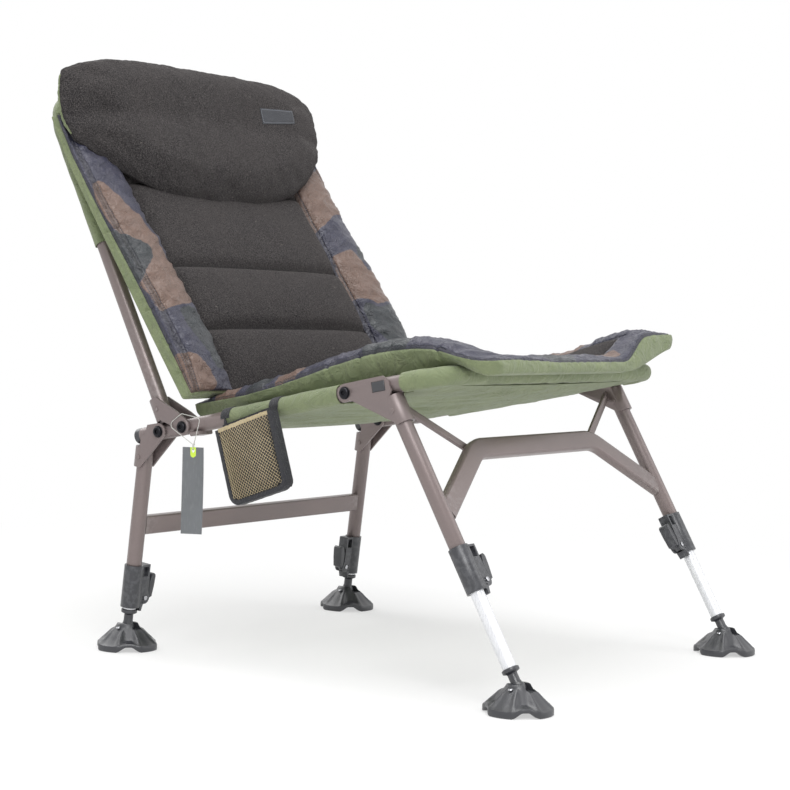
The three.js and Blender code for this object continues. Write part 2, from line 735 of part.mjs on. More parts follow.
// Ball, stem and collar that plug the lower end of an inner leg, about the ball's centre
function ballFitting() {
  const steps = 5;
  const start = Math.asin(stemRadius / ballRadius);
  const ball = Array.from({ length: steps + 1 }, (unused, i) => {
    const angle = Math.PI - (Math.PI - start) * (i / steps);
    return [i === 0 ? 0 : ballRadius * Math.sin(angle), ballRadius * Math.cos(angle)];
  });
  const plug = innerLegRadius - innerLegWall - fit;
  const top = collarRise + collarHeight;
  return lathe([
    ...ball, [stemRadius, collarRise], [collarRadius, collarRise], [collarRadius, top], [plug, top],
    [plug, top + ballPlugLength], [0, top + ballPlugLength],
  ]);
}

// Mud foot: a lobed dish with an open slot for the stem, about the ball's centre
const easeDipShare = 0.2;
const screwDropShare = 0.55;
function mudFoot() {
  const steps = 5 * footLobes;
  const points = [];
  const faces = [];
  const rings = (angle) => {
    const part = Math.abs(((angle * footLobes / (2 * Math.PI)) % 1 + 1) % 1 - 0.5) * 2; // 1 on a lobe
    const valley = 1 - smooth((part - 0.1) / 0.45);
    const rim = footRadius - footLobeDip * valley;
    const low = -ballHeight + footArchHeight * valley;
    const high = -ballHeight + footRimHeight + footArchHeight * valley / 2;
    const slope = (socketHornRise - ballRadius - high) / 2;
    return [
      [footNeckRadius, socketHornRise],
      [footNeckRadius + footSkin, socketHornRise - ballRadius * 0.7],
      [(footNeckRadius + rim) / 2, high + slope - footLobeDip * valley],
      [rim - footSkin * 0.6, high], [rim, high - footSkin], [rim, low], [rim - footPadWidth, low],
      [footNeckRadius + footSkin * 2, -ballRadius - footSkin],
    ];
  };
  const count = rings(0).length;
  for (let k = 0; k < steps; k += 1) {
    const angle = 2 * Math.PI * k / steps;
    rings(angle).forEach(([radius, z]) => {
      points.push(v3(radius * Math.cos(angle), radius * Math.sin(angle), z));
    });
  }
  const top = points.push(v3(0, 0, socketHornRise)) - 1;
  const bottom = points.push(v3(0, 0, -ballRadius - footSkin)) - 1;
  for (let k = 0; k < steps; k += 1) {
    const [here, next] = [k * count, ((k + 1) % steps) * count];
    faces.push(top, here, next);
    for (let i = 0; i + 1 < count; i += 1) {
      faces.push(here + i, here + i + 1, next + i + 1, here + i, next + i + 1, next + i);
    }
    faces.push(here + count - 1, bottom, next + count - 1);
  }
  const geometry = new THREE.BufferGeometry().setFromPoints(points);
  geometry.setIndex(faces);
  let foot = solid(geometry);
  for (const sign of [-1, 1]) {
    const screw = rod(footScrewRadius, -footSkin, footScrewHeight, 8)
      .translate([sign * footScrewReach, 0, socketHornRise - ballRadius * screwDropShare]);
    foot = foot.add(screw);
  }
  const faceting = Math.cos(Math.PI / tubeSides) * Math.cos(Math.PI / 2 / socketRings);
  const bowl = new THREE.SphereGeometry((ballRadius + fit) / faceting, tubeSides, socketRings);
  foot = foot.subtract(solid(bowl));
  const slot = stemRadius + 2 * fit;
  foot = foot.subtract(block(-slot, slot, -footRadius, footRadius, 0, socketHornRise + overrun));
  const dip = ballRadius * easeDipShare;
  const ease = sideSlab([
    [-footRadius, -dip], [-ballRadius, -dip], [0, 0], [ballRadius, -dip], [footRadius, -dip],
    [footRadius, socketHornRise + overrun], [-footRadius, socketHornRise + overrun],
  ], 2 * slot);
  return foot.subtract(ease);
}

const footMade = mudFoot();

// One side of a pair of legs, below its bracket
function legSet(group, sign, side, end, halfWidth, offset, tubeEnd, reach, tilt) {
  const x = sign * halfWidth;
  const lockHeight = -(tubeEnd + fit + sleeveLedge);
  const lock = new THREE.Group();
  lock.position.set(x, offset, lockHeight);
  if (sign > 0) lock.rotation.z = Math.PI;
  group.add(lock);
  lock.add(mesh(`lock_sleeve_${end}_${side}`, lockSleeve(), darkPlastic));
  place(lock, mesh(`lock_lever_${end}_${side}`, lockLever(), darkPlastic), leverPinReach, 0, leverPinRise);
  place(lock, mesh(`lever_pin_${end}_${side}`, leverPin(), brightSteel), leverPinReach, 0, leverPinRise);
  const legLow = -reach + collarRise + collarHeight + fit;
  const inner = pipe(innerLegRadius, innerLegRadius - innerLegWall, 0, innerLegLength);
  place(group, mesh(`inner_leg_${end}_${side}`, inner, aluminium), x, offset, legLow);
  place(group, mesh(`ball_fitting_${end}_${side}`, ballFitting(), darkPlastic), x, offset, -reach);
  const foot = place(group, mesh(`mud_foot_${end}_${side}`, footMade, darkPlastic), x, offset, -reach);
  foot.rotation.x = -tilt;
}

const legTube = (offset, low, high) => pipe(tubeRadius, tubeRadius - tubeWall, low, high)
  .translate([0, offset, 0]);

for (const [sign, side] of sides) {
  const rear = bracket({
    outline: rearOutline, offset: rearOffset, low: -rearCheekDrop, high: rearWebTop,
    rivetRise: (rearWebTop - rearCheekDrop) / 2, tube: legTube(rearOffset, -rearTubeEnd, rearTubeTop),
  });
  place(rearLegs, mesh(`rear_bracket_${side}`, rear.shape, paint), sign * rearHalfWidth);
  place(rearLegs, mesh(`rear_leg_tube_${side}`, rear.tube, paint), sign * rearHalfWidth);
  place(rearLegs, mesh(`rear_pivot_bolt_${side}`, pivotBolt(), blackSteel), sign * rearHalfWidth);
  legSet(rearLegs, sign, side, 'rear', rearHalfWidth, rearOffset, rearTubeEnd, rearBallReach, rearLegTilt);

  const blockAt = (grow) => block(
    tubeRadius + fit, cheekOuter + (grow ? overrun : stopBlockProud),
    -stopBlockLength / 2 - grow, stopBlockLength / 2 + grow,
    -stopBlockHeight / 2 - grow, stopBlockHeight / 2 + grow,
  ).translate([0, -stopBlockReach, 0]).rotate([frontSlope / degree, 0, 0]);
  const onSide = (shape) => (sign < 0 ? shape.mirror([1, 0, 0]) : shape);
  const front = bracket({
    outline: frontOutline, offset: -frontOffset, low: -frontCheekDrop, high: frontWebTop,
    rivetRise: (frontWebTop - frontCheekDrop) / 2, window: onSide(blockAt(fit)),
    tube: legTube(-frontOffset, -frontTubeEnd, frontTubeTop),
  });
  place(frontLegs, mesh(`front_bracket_${side}`, front.shape, paint), sign * frontHalfWidth);
  place(frontLegs, mesh(`front_leg_tube_${side}`, front.tube, paint), sign * frontHalfWidth);
  place(frontLegs, mesh(`front_pivot_bolt_${side}`, pivotBolt(), blackSteel), sign * frontHalfWidth);
  place(frontLegs, mesh(`stop_block_${side}`, onSide(blockAt(0)), darkPlastic), sign * frontHalfWidth);
  legSet(
    frontLegs, sign, side, 'front', frontHalfWidth, -frontOffset, frontTubeEnd, frontBallReach,
    -frontLegTilt,
  );
}

// Flat-sided tube with rounded edges, its depth first
function flatTube(depth, height, grow) {
  const [x, y] = [depth / 2 + grow, height / 2 + grow];
  const cut = Math.min(depth, height) / 4;
  return [[-x, -y + cut], [-x + cut, -y], [x - cut, -y], [x, -y + cut], [x, y - cut], [x - cut, y],
    [-x + cut, y], [-x, y - cut]];
}
const legShadow = (halfWidth, offset, end) => sides.map(([sign]) => rod(tubeRadius + fit, -end, 0)
  .translate([sign * halfWidth, offset, 0]));

// Straight bar between the rear legs
const rearBarRoute = [
  v3(-rearHalfWidth, rearOffset, -rearBarDrop), v3(rearHalfWidth, rearOffset, -rearBarDrop),
];
const rearBar = boreAll(
  sweep(
    rearBarRoute, flatTube(rearBarHeight, rearBarDepth, 0), flatTube(rearBarHeight, rearBarDepth, -barWall),
  ),
  legShadow(rearHalfWidth, rearOffset, rearTubeEnd),
);
place(rearLegs, mesh('rear_cross_bar', rearBar, paint));

// Arched bar between the front legs and the two flat struts above it
function archRoute() {
  const at = (x, drop) => v3(x, -frontOffset, -drop);
  return roundedRoute([
    { at: at(-frontHalfWidth, archEndDrop) },
    { at: at(-archCornerHalfWidth, archDrop), radius: archCornerRadius, steps: 5 },
    { at: at(archCornerHalfWidth, archDrop), radius: archCornerRadius, steps: 5 },
    { at: at(frontHalfWidth, archEndDrop) },
  ]);
}
const arch = boreAll(
  sweep(archRoute(), flatTube(archDepth, archHeight, 0), flatTube(archDepth, archHeight, -barWall)),
  legShadow(frontHalfWidth, -frontOffset, frontTubeEnd),
);
place(frontLegs, mesh('front_arch', arch, paint));
const archShadow = sweep(archRoute(), flatTube(archDepth, archHeight, fit));
for (const [sign, side] of sides) {
  const top = [frontHalfWidth - cheekOuter - fit, -strutPinDrop];
  const foot = [archCornerHalfWidth, -archDrop];
  const run = Math.hypot(top[0] - foot[0], top[1] - foot[1]);
  const lean = Math.atan2(top[1] - foot[1], top[0] - foot[0]);
  const bar = frontSlab([
    [0, -strutWidth / 2], [run + strutWidth, -strutWidth / 2],
    [run + strutWidth, strutWidth / 2], [0, strutWidth / 2],
  ], strutThickness).rotate([0, -lean / degree, 0]).translate([foot[0], 0, foot[1]]);
  const pin = rod(strutPinRadius, -strutThickness / 2 - strutPinHeadHeight, strutThickness / 2, 10)
    .rotate([-90, 0, 0]).translate([top[0] - strutWidth, 0, top[1] - strutWidth / 2 * Math.sin(lean)]);
  const beyond = block(
    top[0], top[0] + 2 * strutWidth, -strutWidth, strutWidth, -strutPinDrop - 2 * strutWidth, 0,
  );
  let strut = bar.add(pin).subtract(beyond).translate([0, -strutPinSetback, 0]);
  strut = strut.subtract(archShadow);
  strut = sign < 0 ? strut.mirror([1, 0, 0]) : strut;
  place(frontLegs, mesh(`front_strut_${side}`, strut, paint));
}

// Seat sling: sleeves round the rails and the front bar, and the cloth that hangs between them
const sleeveOuter = tubeRadius + fit + clothWall;
function sagAt(reach) {
  const depth = along([
    [seatSlingStart, sagRear], [(splayStart + splayEnd) / 2, (sagRear + sagFront) / 2],
    [splayEnd, sagFront], [bracketNotchEnd, sagFront], [railLength, sagRim],
  ], reach);
  return depth;
}
function slingHeight(x, reach) {
  const share = x / railHalfWidth(reach);
  return -sagRim - (sagAt(reach) - sagRim) * (1 - share * share);
}
let sling = sweptSleeve(railRoute(seatSlingStart));
for (const [sign] of sides) {
  const x = sign * frontHalfWidth;
  sling = sling.subtract(block(
    x - 2 * cheekOuter, x + 2 * cheekOuter, -bracketNotchEnd, -bracketNotchStart,
    -2 * cheekOuter, 2 * cheekOuter,
  ));
}
const slingColumnShares = [-1, -0.8, -0.6, -0.35, 0, 0.35, 0.6, 0.8, 1];
const slingReaches = [
  seatSlingStart, (seatSlingStart + splayEnd) / 2, splayEnd,
  bracketNotchStart - clothWall, bracketNotchStart,
  (bracketNotchStart + bracketNotchEnd) / 2, bracketNotchEnd, bracketNotchEnd + clothWall,
  railLength - tubeRadius - fit - clothWall / 2,
];
const slingEdge = (reach) => railHalfWidth(reach) - (
  reach < bracketNotchStart || reach > bracketNotchEnd
    ? tubeRadius / 2 + fit : cheekOuter + boltHeadHeight + 2 * fit);
const slingPoint = (lift) => (u, reach) => {
  const x = u * slingEdge(reach);
  return v3(x, -reach, slingHeight(x, reach) + lift);
};
const slingPanel = quilt(slingColumnShares, slingReaches, slingPoint(0), slingPoint(-slingPanelWall));
const railShadow = sweptPipe(railRoute(railCapLength), tubeRadius + fit, undefined, 12);
sling = sling.add(slingPanel.subtract(railShadow));
place(seat, mesh('seat_sling', sling, greenCloth));

// Seat pad
const padColumnShares = [
  -1, -0.93, -0.86, -0.79, -0.72, -0.6, -0.4, -0.2, 0, 0.2, 0.4, 0.6, 0.72, 0.79, 0.86, 0.93, 1,
];
const padRowShares = [
  0, 0.03, 0.08, 0.16, 0.26, 0.36, 0.46, 0.56, 0.66, 0.75, 0.83, 0.875, 0.9, 0.93, 0.96, 1,
];
// Heights of the top along the pad, from its rear to its front: each side's edge and the middle
const seatReachShares = [
  0, 0.115, 0.214, 0.313, 0.413, 0.512, 0.575, 0.651, 0.71, 0.774, 0.829, 0.869, 0.909, 0.948, 1,
];
const seatRightShares = [
  0.66, 0.62, 0.58, 0.64, 0.76, 0.88, 0.94, 0.98, 0.96, 0.9, 0.78, 0.62, 0.44, 0.3, 0.2,
];
const seatLeftShares = [
  0.66, 0.62, 0.58, 0.64, 0.72, 0.74, 0.7, 0.66, 0.7, 0.82, 0.92, 0.96, 1, 1, 0.92,
];
const seatMiddleShares = [
  0.66, 0.68, 0.64, 0.6, 0.56, 0.54, 0.54, 0.52, 0.5, 0.44, 0.36, 0.35, 0.34, 0.26, 0.12,
];
const curlStartShare = 0.35;
const hammockShare = 0.5; // of the way to the bolster seam, where the middle starts to rise
const endCrownShare = 0.1;
const seatPadReach = (v) => seatPadRear + v * (seatPadFront - seatPadRear);
function seatPadEdge(reach) {
  const corner = smooth((seatPadFront - reach) / seatBolsterWidth);
  const rear = along([
    [splayStart, seatPadRearHalfWidth], [seatSlingStart + seatPadRearRamp / 2, seatPadHalfWidth],
  ], reach);
  return rear - padDrawIn * 4 * (1 - corner) ** 2;
}
function seatPadBase(x, reach) {
  const half = railHalfWidth(Math.min(reach, railLength));
  const share = Math.min(1, Math.abs(x) / (half - sleeveOuter - 2 * clothWall));
  const inside = smooth((1 - share) * 3) * smooth((railLength - sleeveOuter - reach) / seatBolsterWidth);
  const flat = seatPadBaseRise + fit;
  const sagged = slingHeight(x, Math.min(reach, railLength)) + 2 * fit + clothWall;
  const droop = smooth((reach - railLength - clothWall) / seatPadDroopRun) * seatPadDroop;
  const side = smooth((x / seatPadHalfWidth - curlStartShare) / (1 - curlStartShare));
  const curl = seatPadCurl * side * smooth((reach - bracketNotchEnd) / (seatPadFront - bracketNotchEnd));
  return flat + (sagged - flat) * inside - droop * (1 - side) + curl;
}
const seatHeight = (shares, reach) => along(
  seatReachShares.map((share, i) => [seatPadReach(share), shares[i] * seatPadSideRise]), reach,
);
function seatPadTop(x, reach) {
  const edge = seatPadEdge(reach);
  const fromSide = edge - Math.abs(x);
  const seam = edge - seatBolsterWidth;
  const ends = smooth((reach - seatPadRear) / seatBolsterWidth)
    * smooth((seatPadFront - reach) / seatBolsterWidth);
  const middle = seatHeight(seatMiddleShares, reach);
  const side = seatHeight(x < 0 ? seatRightShares : seatLeftShares, reach);
  const level = middle + (side - middle) * smooth((Math.abs(x) / seam - hammockShare) / (1 - hammockShare));
  const crown = fromSide < seatBolsterWidth
    ? seatBolsterCrown * dome(fromSide / seatBolsterWidth)
    : seatCentreCrown * dome((seam - Math.abs(x)) / (2 * seam));
  return level + crown * (endCrownShare + (1 - endCrownShare) * ends);
}
const seatPadFrontFace = (u, v) => {
  const reach = seatPadReach(v);
  const x = u * seatPadEdge(reach);
  return v3(x, -reach, seatPadTop(x, reach));
};
const seatPadRearFace = (u, v) => {
  const reach = seatPadReach(v);
  const x = u * seatPadEdge(reach);
  return v3(x, -reach, seatPadBase(x, reach));
};
const drawn = (centre) => (a, b) => {
  const middle = a.clone().add(b).multiplyScalar(0.5);
  return middle.addScaledVector(centre.clone().sub(middle).setZ(0).normalize(), padDrawIn);
};
const seatPad = quilt(
  padColumnShares, padRowShares, seatPadFrontFace, seatPadRearFace,
  drawn(v3(0, -(seatPadRear + seatPadFront) / 2, 0)),
);
place(seat, mesh('seat_pad', seatPad, camoCloth));

// Back cover: sleeves over the upper frame and the panel between them
const backSleeve = sweptSleeve(backRoute(backSleeveStart));
const backRows = [backSleeveStart, (backSleeveStart + backFrameHeight) / 2, backFrameHeight];
const panelPoint = (forward) => (u, rise) => backPoint(u * rearHalfWidth, rise, forward);
const backPanel = quilt(
  [-1, -0.5, 0, 0.5, 1], backRows, panelPoint(sleeveOuter), panelPoint(sleeveOuter - slingPanelWall),
);
const backShadow = sweptPipe(backRoute(backSleeveStart), tubeRadius + fit, undefined, 12);
place(back, mesh('back_sling', backSleeve.add(backPanel.subtract(backShadow)), greenCloth));

// Back pad
const backPadColumnShares = [
  -1, -0.94, -0.87, -0.78, -0.71, -0.65, -0.48, -0.25, 0, 0.25, 0.48, 0.65, 0.71, 0.78, 0.87, 0.94, 1,
];
const cushionRowShares = [0, 0.1, 0.3, 0.5, 0.7, 0.9];
const backPadSeams = [backPadLow, channelLow, channelHigh, channelTop];
const backPadRises = [
  ...backPadSeams.slice(0, -1).flatMap((low, i) => cushionRowShares.map(
    (share) => low + share * (backPadSeams[i + 1] - low),
  )),
  channelTop, (channelTop + backPadHigh) / 2, backPadHigh,
];
const backPadEdge = (rise) => along([
  [backPadLow, backPadLowHalfWidth], [channelLow, backPadLowHalfWidth + padDrawIn],
  [backPadHigh - bolsterWidth, backPadHighHalfWidth], [backPadHigh, backPadHighHalfWidth],
], rise);
const backPadBase = (rise) => sleeveOuter + 2 * fit
  + backPadLowSetForward * Math.max(0, (backPadSetEnd - rise) / (backPadSetEnd - backPadLow));
const lowFillShare = 0.35;
const underPillowShare = 0.85;
const thinningShare = 0.35;
function backPadFrontDepth(x, rise) {
  const edge = backPadEdge(rise);
  const fromSide = edge - Math.abs(x);
  const ends = smooth((rise - backPadLow) / bolsterWidth + lowFillShare)
    * (1 - underPillowShare * smooth((rise - channelTop) / bolsterWidth));
  const thin = 1 - thinningShare * smooth((rise - channelLow) / (channelTop - channelLow));
  let crown = bolsterCrown * dome(fromSide / bolsterWidth);
  if (fromSide >= bolsterWidth) {
    const inner = edge - bolsterWidth;
    const across = dome((inner - Math.abs(x)) / (2 * inner));
    const i = backPadSeams.findIndex((seam, k) => k > 0 && rise <= seam);
    const up = i < 0 ? 0 : dome((rise - backPadSeams[i - 1]) / (backPadSeams[i] - backPadSeams[i - 1]));
    crown = across ** 0.5 * (fleeceCrown - channelDepth * (1 - up));
  }
  return backPadBase(rise) + backPadWall * thin + crown * ends * thin;
}
const backPadFace = (u, rise) => {
  const x = u * backPadEdge(rise);
  return backPoint(x, rise, backPadFrontDepth(x, rise));
};
const backPadBack = (u, rise) => backPoint(u * backPadEdge(rise), rise, backPadBase(rise));
const backDrawn = (a, b) => {
  const middle = a.clone().add(b).multiplyScalar(0.5);
  const inward = v3(0, 0, (backPadLow + backPadHigh) / 2).sub(middle).setY(0).normalize();
  return middle.addScaledVector(inward, padDrawIn / 2);
};
const backPad = quilt(backPadColumnShares, backPadRises, backPadFace, backPadBack, backDrawn);

// Head pillow, over the upper end of the back pad and leaning forward above it
const pillow = new THREE.Group();
pillow.position.copy(backPoint(0, pillowCentreRise, pillowCentreForward));
back.add(pillow);
const pillowTopAt = (u) => pillowTopRise - (pillowTopRise - pillowSideTopRise) * u ** 4;
const pillowLowAt = (u) => -pillowDrop + (pillowDrop - pillowSideDrop) * Math.abs(u) ** 2.2;
const pillowRimShare = 0.2;
const rimSwellShare = 1.004;
const pillowBulge = (u, v) => pillowRimShare + (1 - pillowRimShare)
  * Math.sqrt(Math.max(0, 1 - Math.abs(u) ** 5)) * Math.sqrt(Math.max(0, 1 - Math.abs(v) ** 3));
function pillowMiddle(u, z) {
  const lean = z > 0 ? z * Math.tan(pillowLean) : -z * Math.tan(pillowLowLean);
  return lean - pillowCornerSetback * u ** 6;
}
const pillowPoint = (depth) => (u, v) => {
  const [low, high] = [pillowLowAt(u), pillowTopAt(u)];
  const z = low + (high - low) * (v + 1) / 2;
  const x = u * pillowHalfWidth * (1 - pillowPinchShare * v * v);
  return v3(x, -pillowMiddle(u, z) - depth * pillowBulge(u, v), z);
};
const pillowColumnShares = [-1, -0.97, -0.9, -0.78, -0.6, -0.4, -0.2, 0, 0.2, 0.4, 0.6, 0.78, 0.9, 0.97, 1];
const pillowRowShares = [-1, -0.96, -0.85, -0.6, -0.3, 0, 0.3, 0.6, 0.85, 0.96, 1];
const pillowSolid = quilt(
  pillowColumnShares, pillowRowShares, pillowPoint(pillowFrontDepth), pillowPoint(-pillowRearDepth),
  (a, b) => a.clone().add(b).multiplyScalar(0.5).setX(a.x * rimSwellShare),
);
pillow.add(mesh('head_pillow', pillowSolid, fleece));

place(back, mesh('back_pad', backPad, camoCloth));

// Blank label sewn to the pillow
const labelColumnShares = [0.38, 0.4, 0.5, 0.6, 0.67];
const labelRowShares = [0.17, 0.3, 0.41];
const onPillow = (lift) => (u, v) => pillowPoint(pillowFrontDepth)(u, v).add(v3(0, -lift, 0));
const label = quilt(
  labelColumnShares, labelRowShares, onPillow(labelThickness + labelLift), onPillow(labelLift),
);
pillow.add(mesh('head_label', label, darkPlastic));

// Side pocket: a bound cloth panel on two straps, with a net front
const pocket = new THREE.Group();
pocket.position.set(-railHalfWidth(pocketReach), -pocketReach, 0);
const splay = Math.atan2(frontHalfWidth - rearHalfWidth, splayEnd - splayStart);
pocket.rotation.z = -splay;
seat.add(pocket);
function pocketOutline(inset, topDrop) {
  const [half, low] = [pocketWidth / 2 - inset, -pocketDrop + inset];
  const corner = pocketCornerRadius - inset / 2;
  return [
    [half, -topDrop], [-half, -topDrop],
    ...arc(-half + corner, low + corner, corner, Math.PI, 1.5 * Math.PI, 3),
    ...arc(half - corner, low + corner, corner, 1.5 * Math.PI, 2 * Math.PI, 3),
  ];
}
const panelFace = sleeveOuter + fit;
const panelOuter = panelFace + pocketPanelWall;
const rimOuter = panelOuter + pocketDepth;
let pocketBack = sideSlab(pocketOutline(0, pocketPanelTopDrop), pocketPanelWall)
  .translate([-(panelFace + panelOuter) / 2, 0, 0]);
const rim = sideSlab(pocketOutline(0, pocketMouthDrop), pocketDepth)
  .subtract(sideSlab(pocketOutline(pocketRim, -overrun), pocketDepth + 2 * overrun))
  .translate([-(panelOuter + rimOuter) / 2, 0, 0]);
const tiltPocket = (shape) => shape.rotate([-pocketTilt / degree, 0, 0]);
pocketBack = tiltPocket(pocketBack.add(rim.add(rim.translate([pocketPanelWall / 2, 0, 0]))));
for (const sign of [-1, 1]) {
  const edge = sign * pocketWidth / 2;
  const inner = edge - sign * strapWidth;
  const [low, high] = [Math.min(edge, inner), Math.max(edge, inner)];
  pocketBack = pocketBack.add(join(
    block(-panelOuter, -panelFace, low, high, -pocketPanelTopDrop - strapWidth, panelOuter),
    block(-panelOuter, strapReach, low, high, panelFace, panelOuter),
  ));
}
pocket.add(mesh('pocket_back', pocketBack, blackBinding));

const netShape = new THREE.Shape(
  pocketOutline(pocketRim + fit, pocketMouthDrop).map(([y, z]) => new THREE.Vector2(y, z)),
);
const netHalf = pocketWidth / 2 - pocketRim - fit;
const netHeight = pocketDrop - pocketMouthDrop - pocketRim - fit;
const cell = [(2 * netHalf - netStrand) / netColumns, (netHeight - netStrand) / netRows];
for (let j = 0; j < 2 * netRows - 1; j += 1) {
  const shifted = j % 2;
  for (let i = 0; i < netColumns - shifted; i += 1) {
    const y = -netHalf + netStrand / 2 + cell[0] * (i + (1 + shifted) / 2);
    const z = -pocketMouthDrop - netStrand / 2 - cell[1] * (j + 1) / 2;
    const [a, b] = [(cell[0] - netStrand) / 2, (cell[1] - netStrand) / 2];
    const inCorner = Math.abs(y) > netHalf - pocketCornerRadius
      && z < -pocketDrop + pocketRim + pocketCornerRadius;
    if (!inCorner) {
      netShape.holes.push(new THREE.Path([[a, 0], [0, b], [-a, 0], [0, -b]].map(
        ([dy, dz]) => new THREE.Vector2(y + dy, z + dz),
      )));
    }
  }
}
const net = solid(new THREE.ExtrudeGeometry(netShape, { depth: netWall, bevelEnabled: false })
  .rotateX(Math.PI / 2).rotateZ(Math.PI / 2));
pocket.add(mesh('pocket_mesh', tiltPocket(net.translate([-rimOuter, 0, 0])), tanNet));

// Hang tag on a string loop that lies round the right back bolt
const railPoint = (reach) => [-reach * Math.cos(railRise), railEndHeight + reach * Math.sin(railRise)];
const tag = new THREE.Group();
const [boltY, boltZ] = railPoint(backPivotReach);
tag.position.set(-rearHalfWidth, boltY, boltZ);
chair.add(tag);
const [tagY, tagZ] = railPoint(tagReach);
const tagTop = tagZ - boltZ - tagTopDrop;
const holeAt = v3(-tagOut, tagY - boltY, tagTop - tagHoleDrop);
const turnTag = (shape) => shape.rotate([0, 0, tagTurn / degree]).translate([holeAt.x, holeAt.y, holeAt.z]);
const card = block(
  -tagThickness / 2, tagThickness / 2, -tagWidth / 2, tagWidth / 2, tagHoleDrop - tagHeight, tagHoleDrop,
);
const tab = sideSlab([
  ...arc(0, tagHoleDrop - tagTabHeight + tagTabWidth / 2, tagTabWidth / 2, Math.PI, 2 * Math.PI, 6),
  [tagTabWidth / 2, tagHoleDrop], [-tagTabWidth / 2, tagHoleDrop],
], tagTabThickness + tagThickness / 2)
  .translate([-tagThickness / 2 - tagTabThickness / 2 + tagThickness / 4, 0, 0]);
const punched = card.add(tab).subtract(crossRod(tagHoleRadius, -overrun, overrun, 0, 0, 10));
tag.add(mesh('hang_tag', turnTag(punched), greyCard));

const normal = v3(-Math.cos(tagTurn), -Math.sin(tagTurn), 0);
const lead = knotRadius + tagThickness + 2 * fit;
const rise = tagHoleDrop + 2 * knotRadius;
const onFace = -(cheekOuter + fit + stringRadius);
const bend = (at, radius, steps = 3) => ({ at, radius, steps });
const inHole = holeAt.clone().setZ(holeAt.z + tagHoleRadius * Math.cos(Math.PI / 10) - stringRadius - fit);
const behind = inHole.clone().addScaledVector(normal, -lead);
const ahead = inHole.clone().addScaledVector(normal, lead);
const stringRoute = roundedRoute([
  bend(behind.clone().add(v3(0, 0, rise))),
  bend(v3(onFace, -loopFront, loopFrontRise), loopBendRadius),
  bend(v3(onFace, 0, loopTopRise), loopBendRadius),
  bend(v3(onFace, loopRear, loopRearRise), loopBendRadius),
  bend(ahead.clone().add(v3(0, 0, rise)), knotRadius, 2),
  bend(ahead, knotRadius, 2),
  bend(behind, knotRadius, 2),
  bend(behind.clone().add(v3(0, 0, rise))),
]);
const knot = solid(new THREE.IcosahedronGeometry(knotRadius, 1))
  .translate([behind.x, behind.y, behind.z + rise]);
tag.add(mesh('tag_string', sweptPipe(stringRoute, stringRadius, undefined, 6).add(knot), whiteString));

// The origin lies on the ground, under the middle of the chair
const bounds = new THREE.Box3().setFromObject(chair);
const middle = bounds.getCenter(v3(0, 0, 0));
chair.position.set(-middle.x, -middle.y, -bounds.min.z);
const part = new THREE.Group();
part.add(chair);

export default part;
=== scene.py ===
import json
import math

import bmesh
import bpy
import numpy as np
from bpy.props import FloatProperty, FloatVectorProperty, IntProperty, PointerProperty
from mathutils import Matrix, Vector, noise
from mathutils.bvhtree import BVHTree


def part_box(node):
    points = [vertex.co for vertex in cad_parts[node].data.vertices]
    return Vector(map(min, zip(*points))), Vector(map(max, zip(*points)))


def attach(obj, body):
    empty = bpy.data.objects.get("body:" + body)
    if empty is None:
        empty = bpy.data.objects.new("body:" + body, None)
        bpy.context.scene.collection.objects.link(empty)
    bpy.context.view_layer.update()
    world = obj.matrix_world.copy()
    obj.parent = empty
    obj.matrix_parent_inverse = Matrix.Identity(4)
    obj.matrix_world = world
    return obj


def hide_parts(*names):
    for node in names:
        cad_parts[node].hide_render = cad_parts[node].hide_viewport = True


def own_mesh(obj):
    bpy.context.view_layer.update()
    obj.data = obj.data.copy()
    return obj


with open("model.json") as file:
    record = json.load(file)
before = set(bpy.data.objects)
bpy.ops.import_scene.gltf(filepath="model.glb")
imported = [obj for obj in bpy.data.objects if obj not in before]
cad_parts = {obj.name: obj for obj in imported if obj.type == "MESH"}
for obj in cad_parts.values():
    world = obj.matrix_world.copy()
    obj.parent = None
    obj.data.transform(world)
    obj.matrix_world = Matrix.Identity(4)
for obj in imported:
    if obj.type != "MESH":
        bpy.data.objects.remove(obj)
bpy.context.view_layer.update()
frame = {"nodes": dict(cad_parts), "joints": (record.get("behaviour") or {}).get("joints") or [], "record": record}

bl_info = {
    "name": "Folding Carp Chair",
    "version": (1, 0, 0),
    "blender": (4, 5, 0),
    "location": "View3D > Sidebar > Carp Chair",
    "description": "Dresses the frame of a folding carp chair in tubes, padded covers, cloth and feet",
    "category": "Object",
}

MM = 0.001
BODY_OF = {n: b for b, names in frame["record"]["behaviour"]["bodies"].items() for n in names}
PIVOT = {j["name"]: Vector(j["pos_m"]) / MM for j in frame["joints"] if "pos_m" in j}

# The nested frames that the chair is measured in, in millimetres
RAIL_RISE = math.radians(11.5)
BACK_LEAN = math.radians(27)
REAR_TILT = math.radians(6.4)
FRONT_TILT = math.radians(29.5)
BACK_PIVOT_REACH = 94


def turned_frame(origin, angle):
    return Matrix.Translation(origin) @ Matrix.Rotation(angle, 4, "X")


BACK = turned_frame(PIVOT["back_fold"], -BACK_LEAN)
REAR_LEGS = turned_frame(PIVOT["rear_leg_fold"], REAR_TILT)
FRONT_LEGS = turned_frame(PIVOT["front_leg_fold"], -FRONT_TILT)
SEAT = turned_frame(PIVOT["back_fold"], -RAIL_RISE) @ Matrix.Translation((0, BACK_PIVOT_REACH, 0))
SIDES = ((-1, "right"), (1, "left"))

RAIL_LENGTH = 532
REAR_HALF = 269
FRONT_HALF = 296
SPLAY = (130, 330)
BACK_OFFSET = 31.8
BACK_HEIGHT = 545
REAR_OFFSET = 31.4
FRONT_OFFSET = -55.6
TUBE = 11
SLEEVE = 12.6


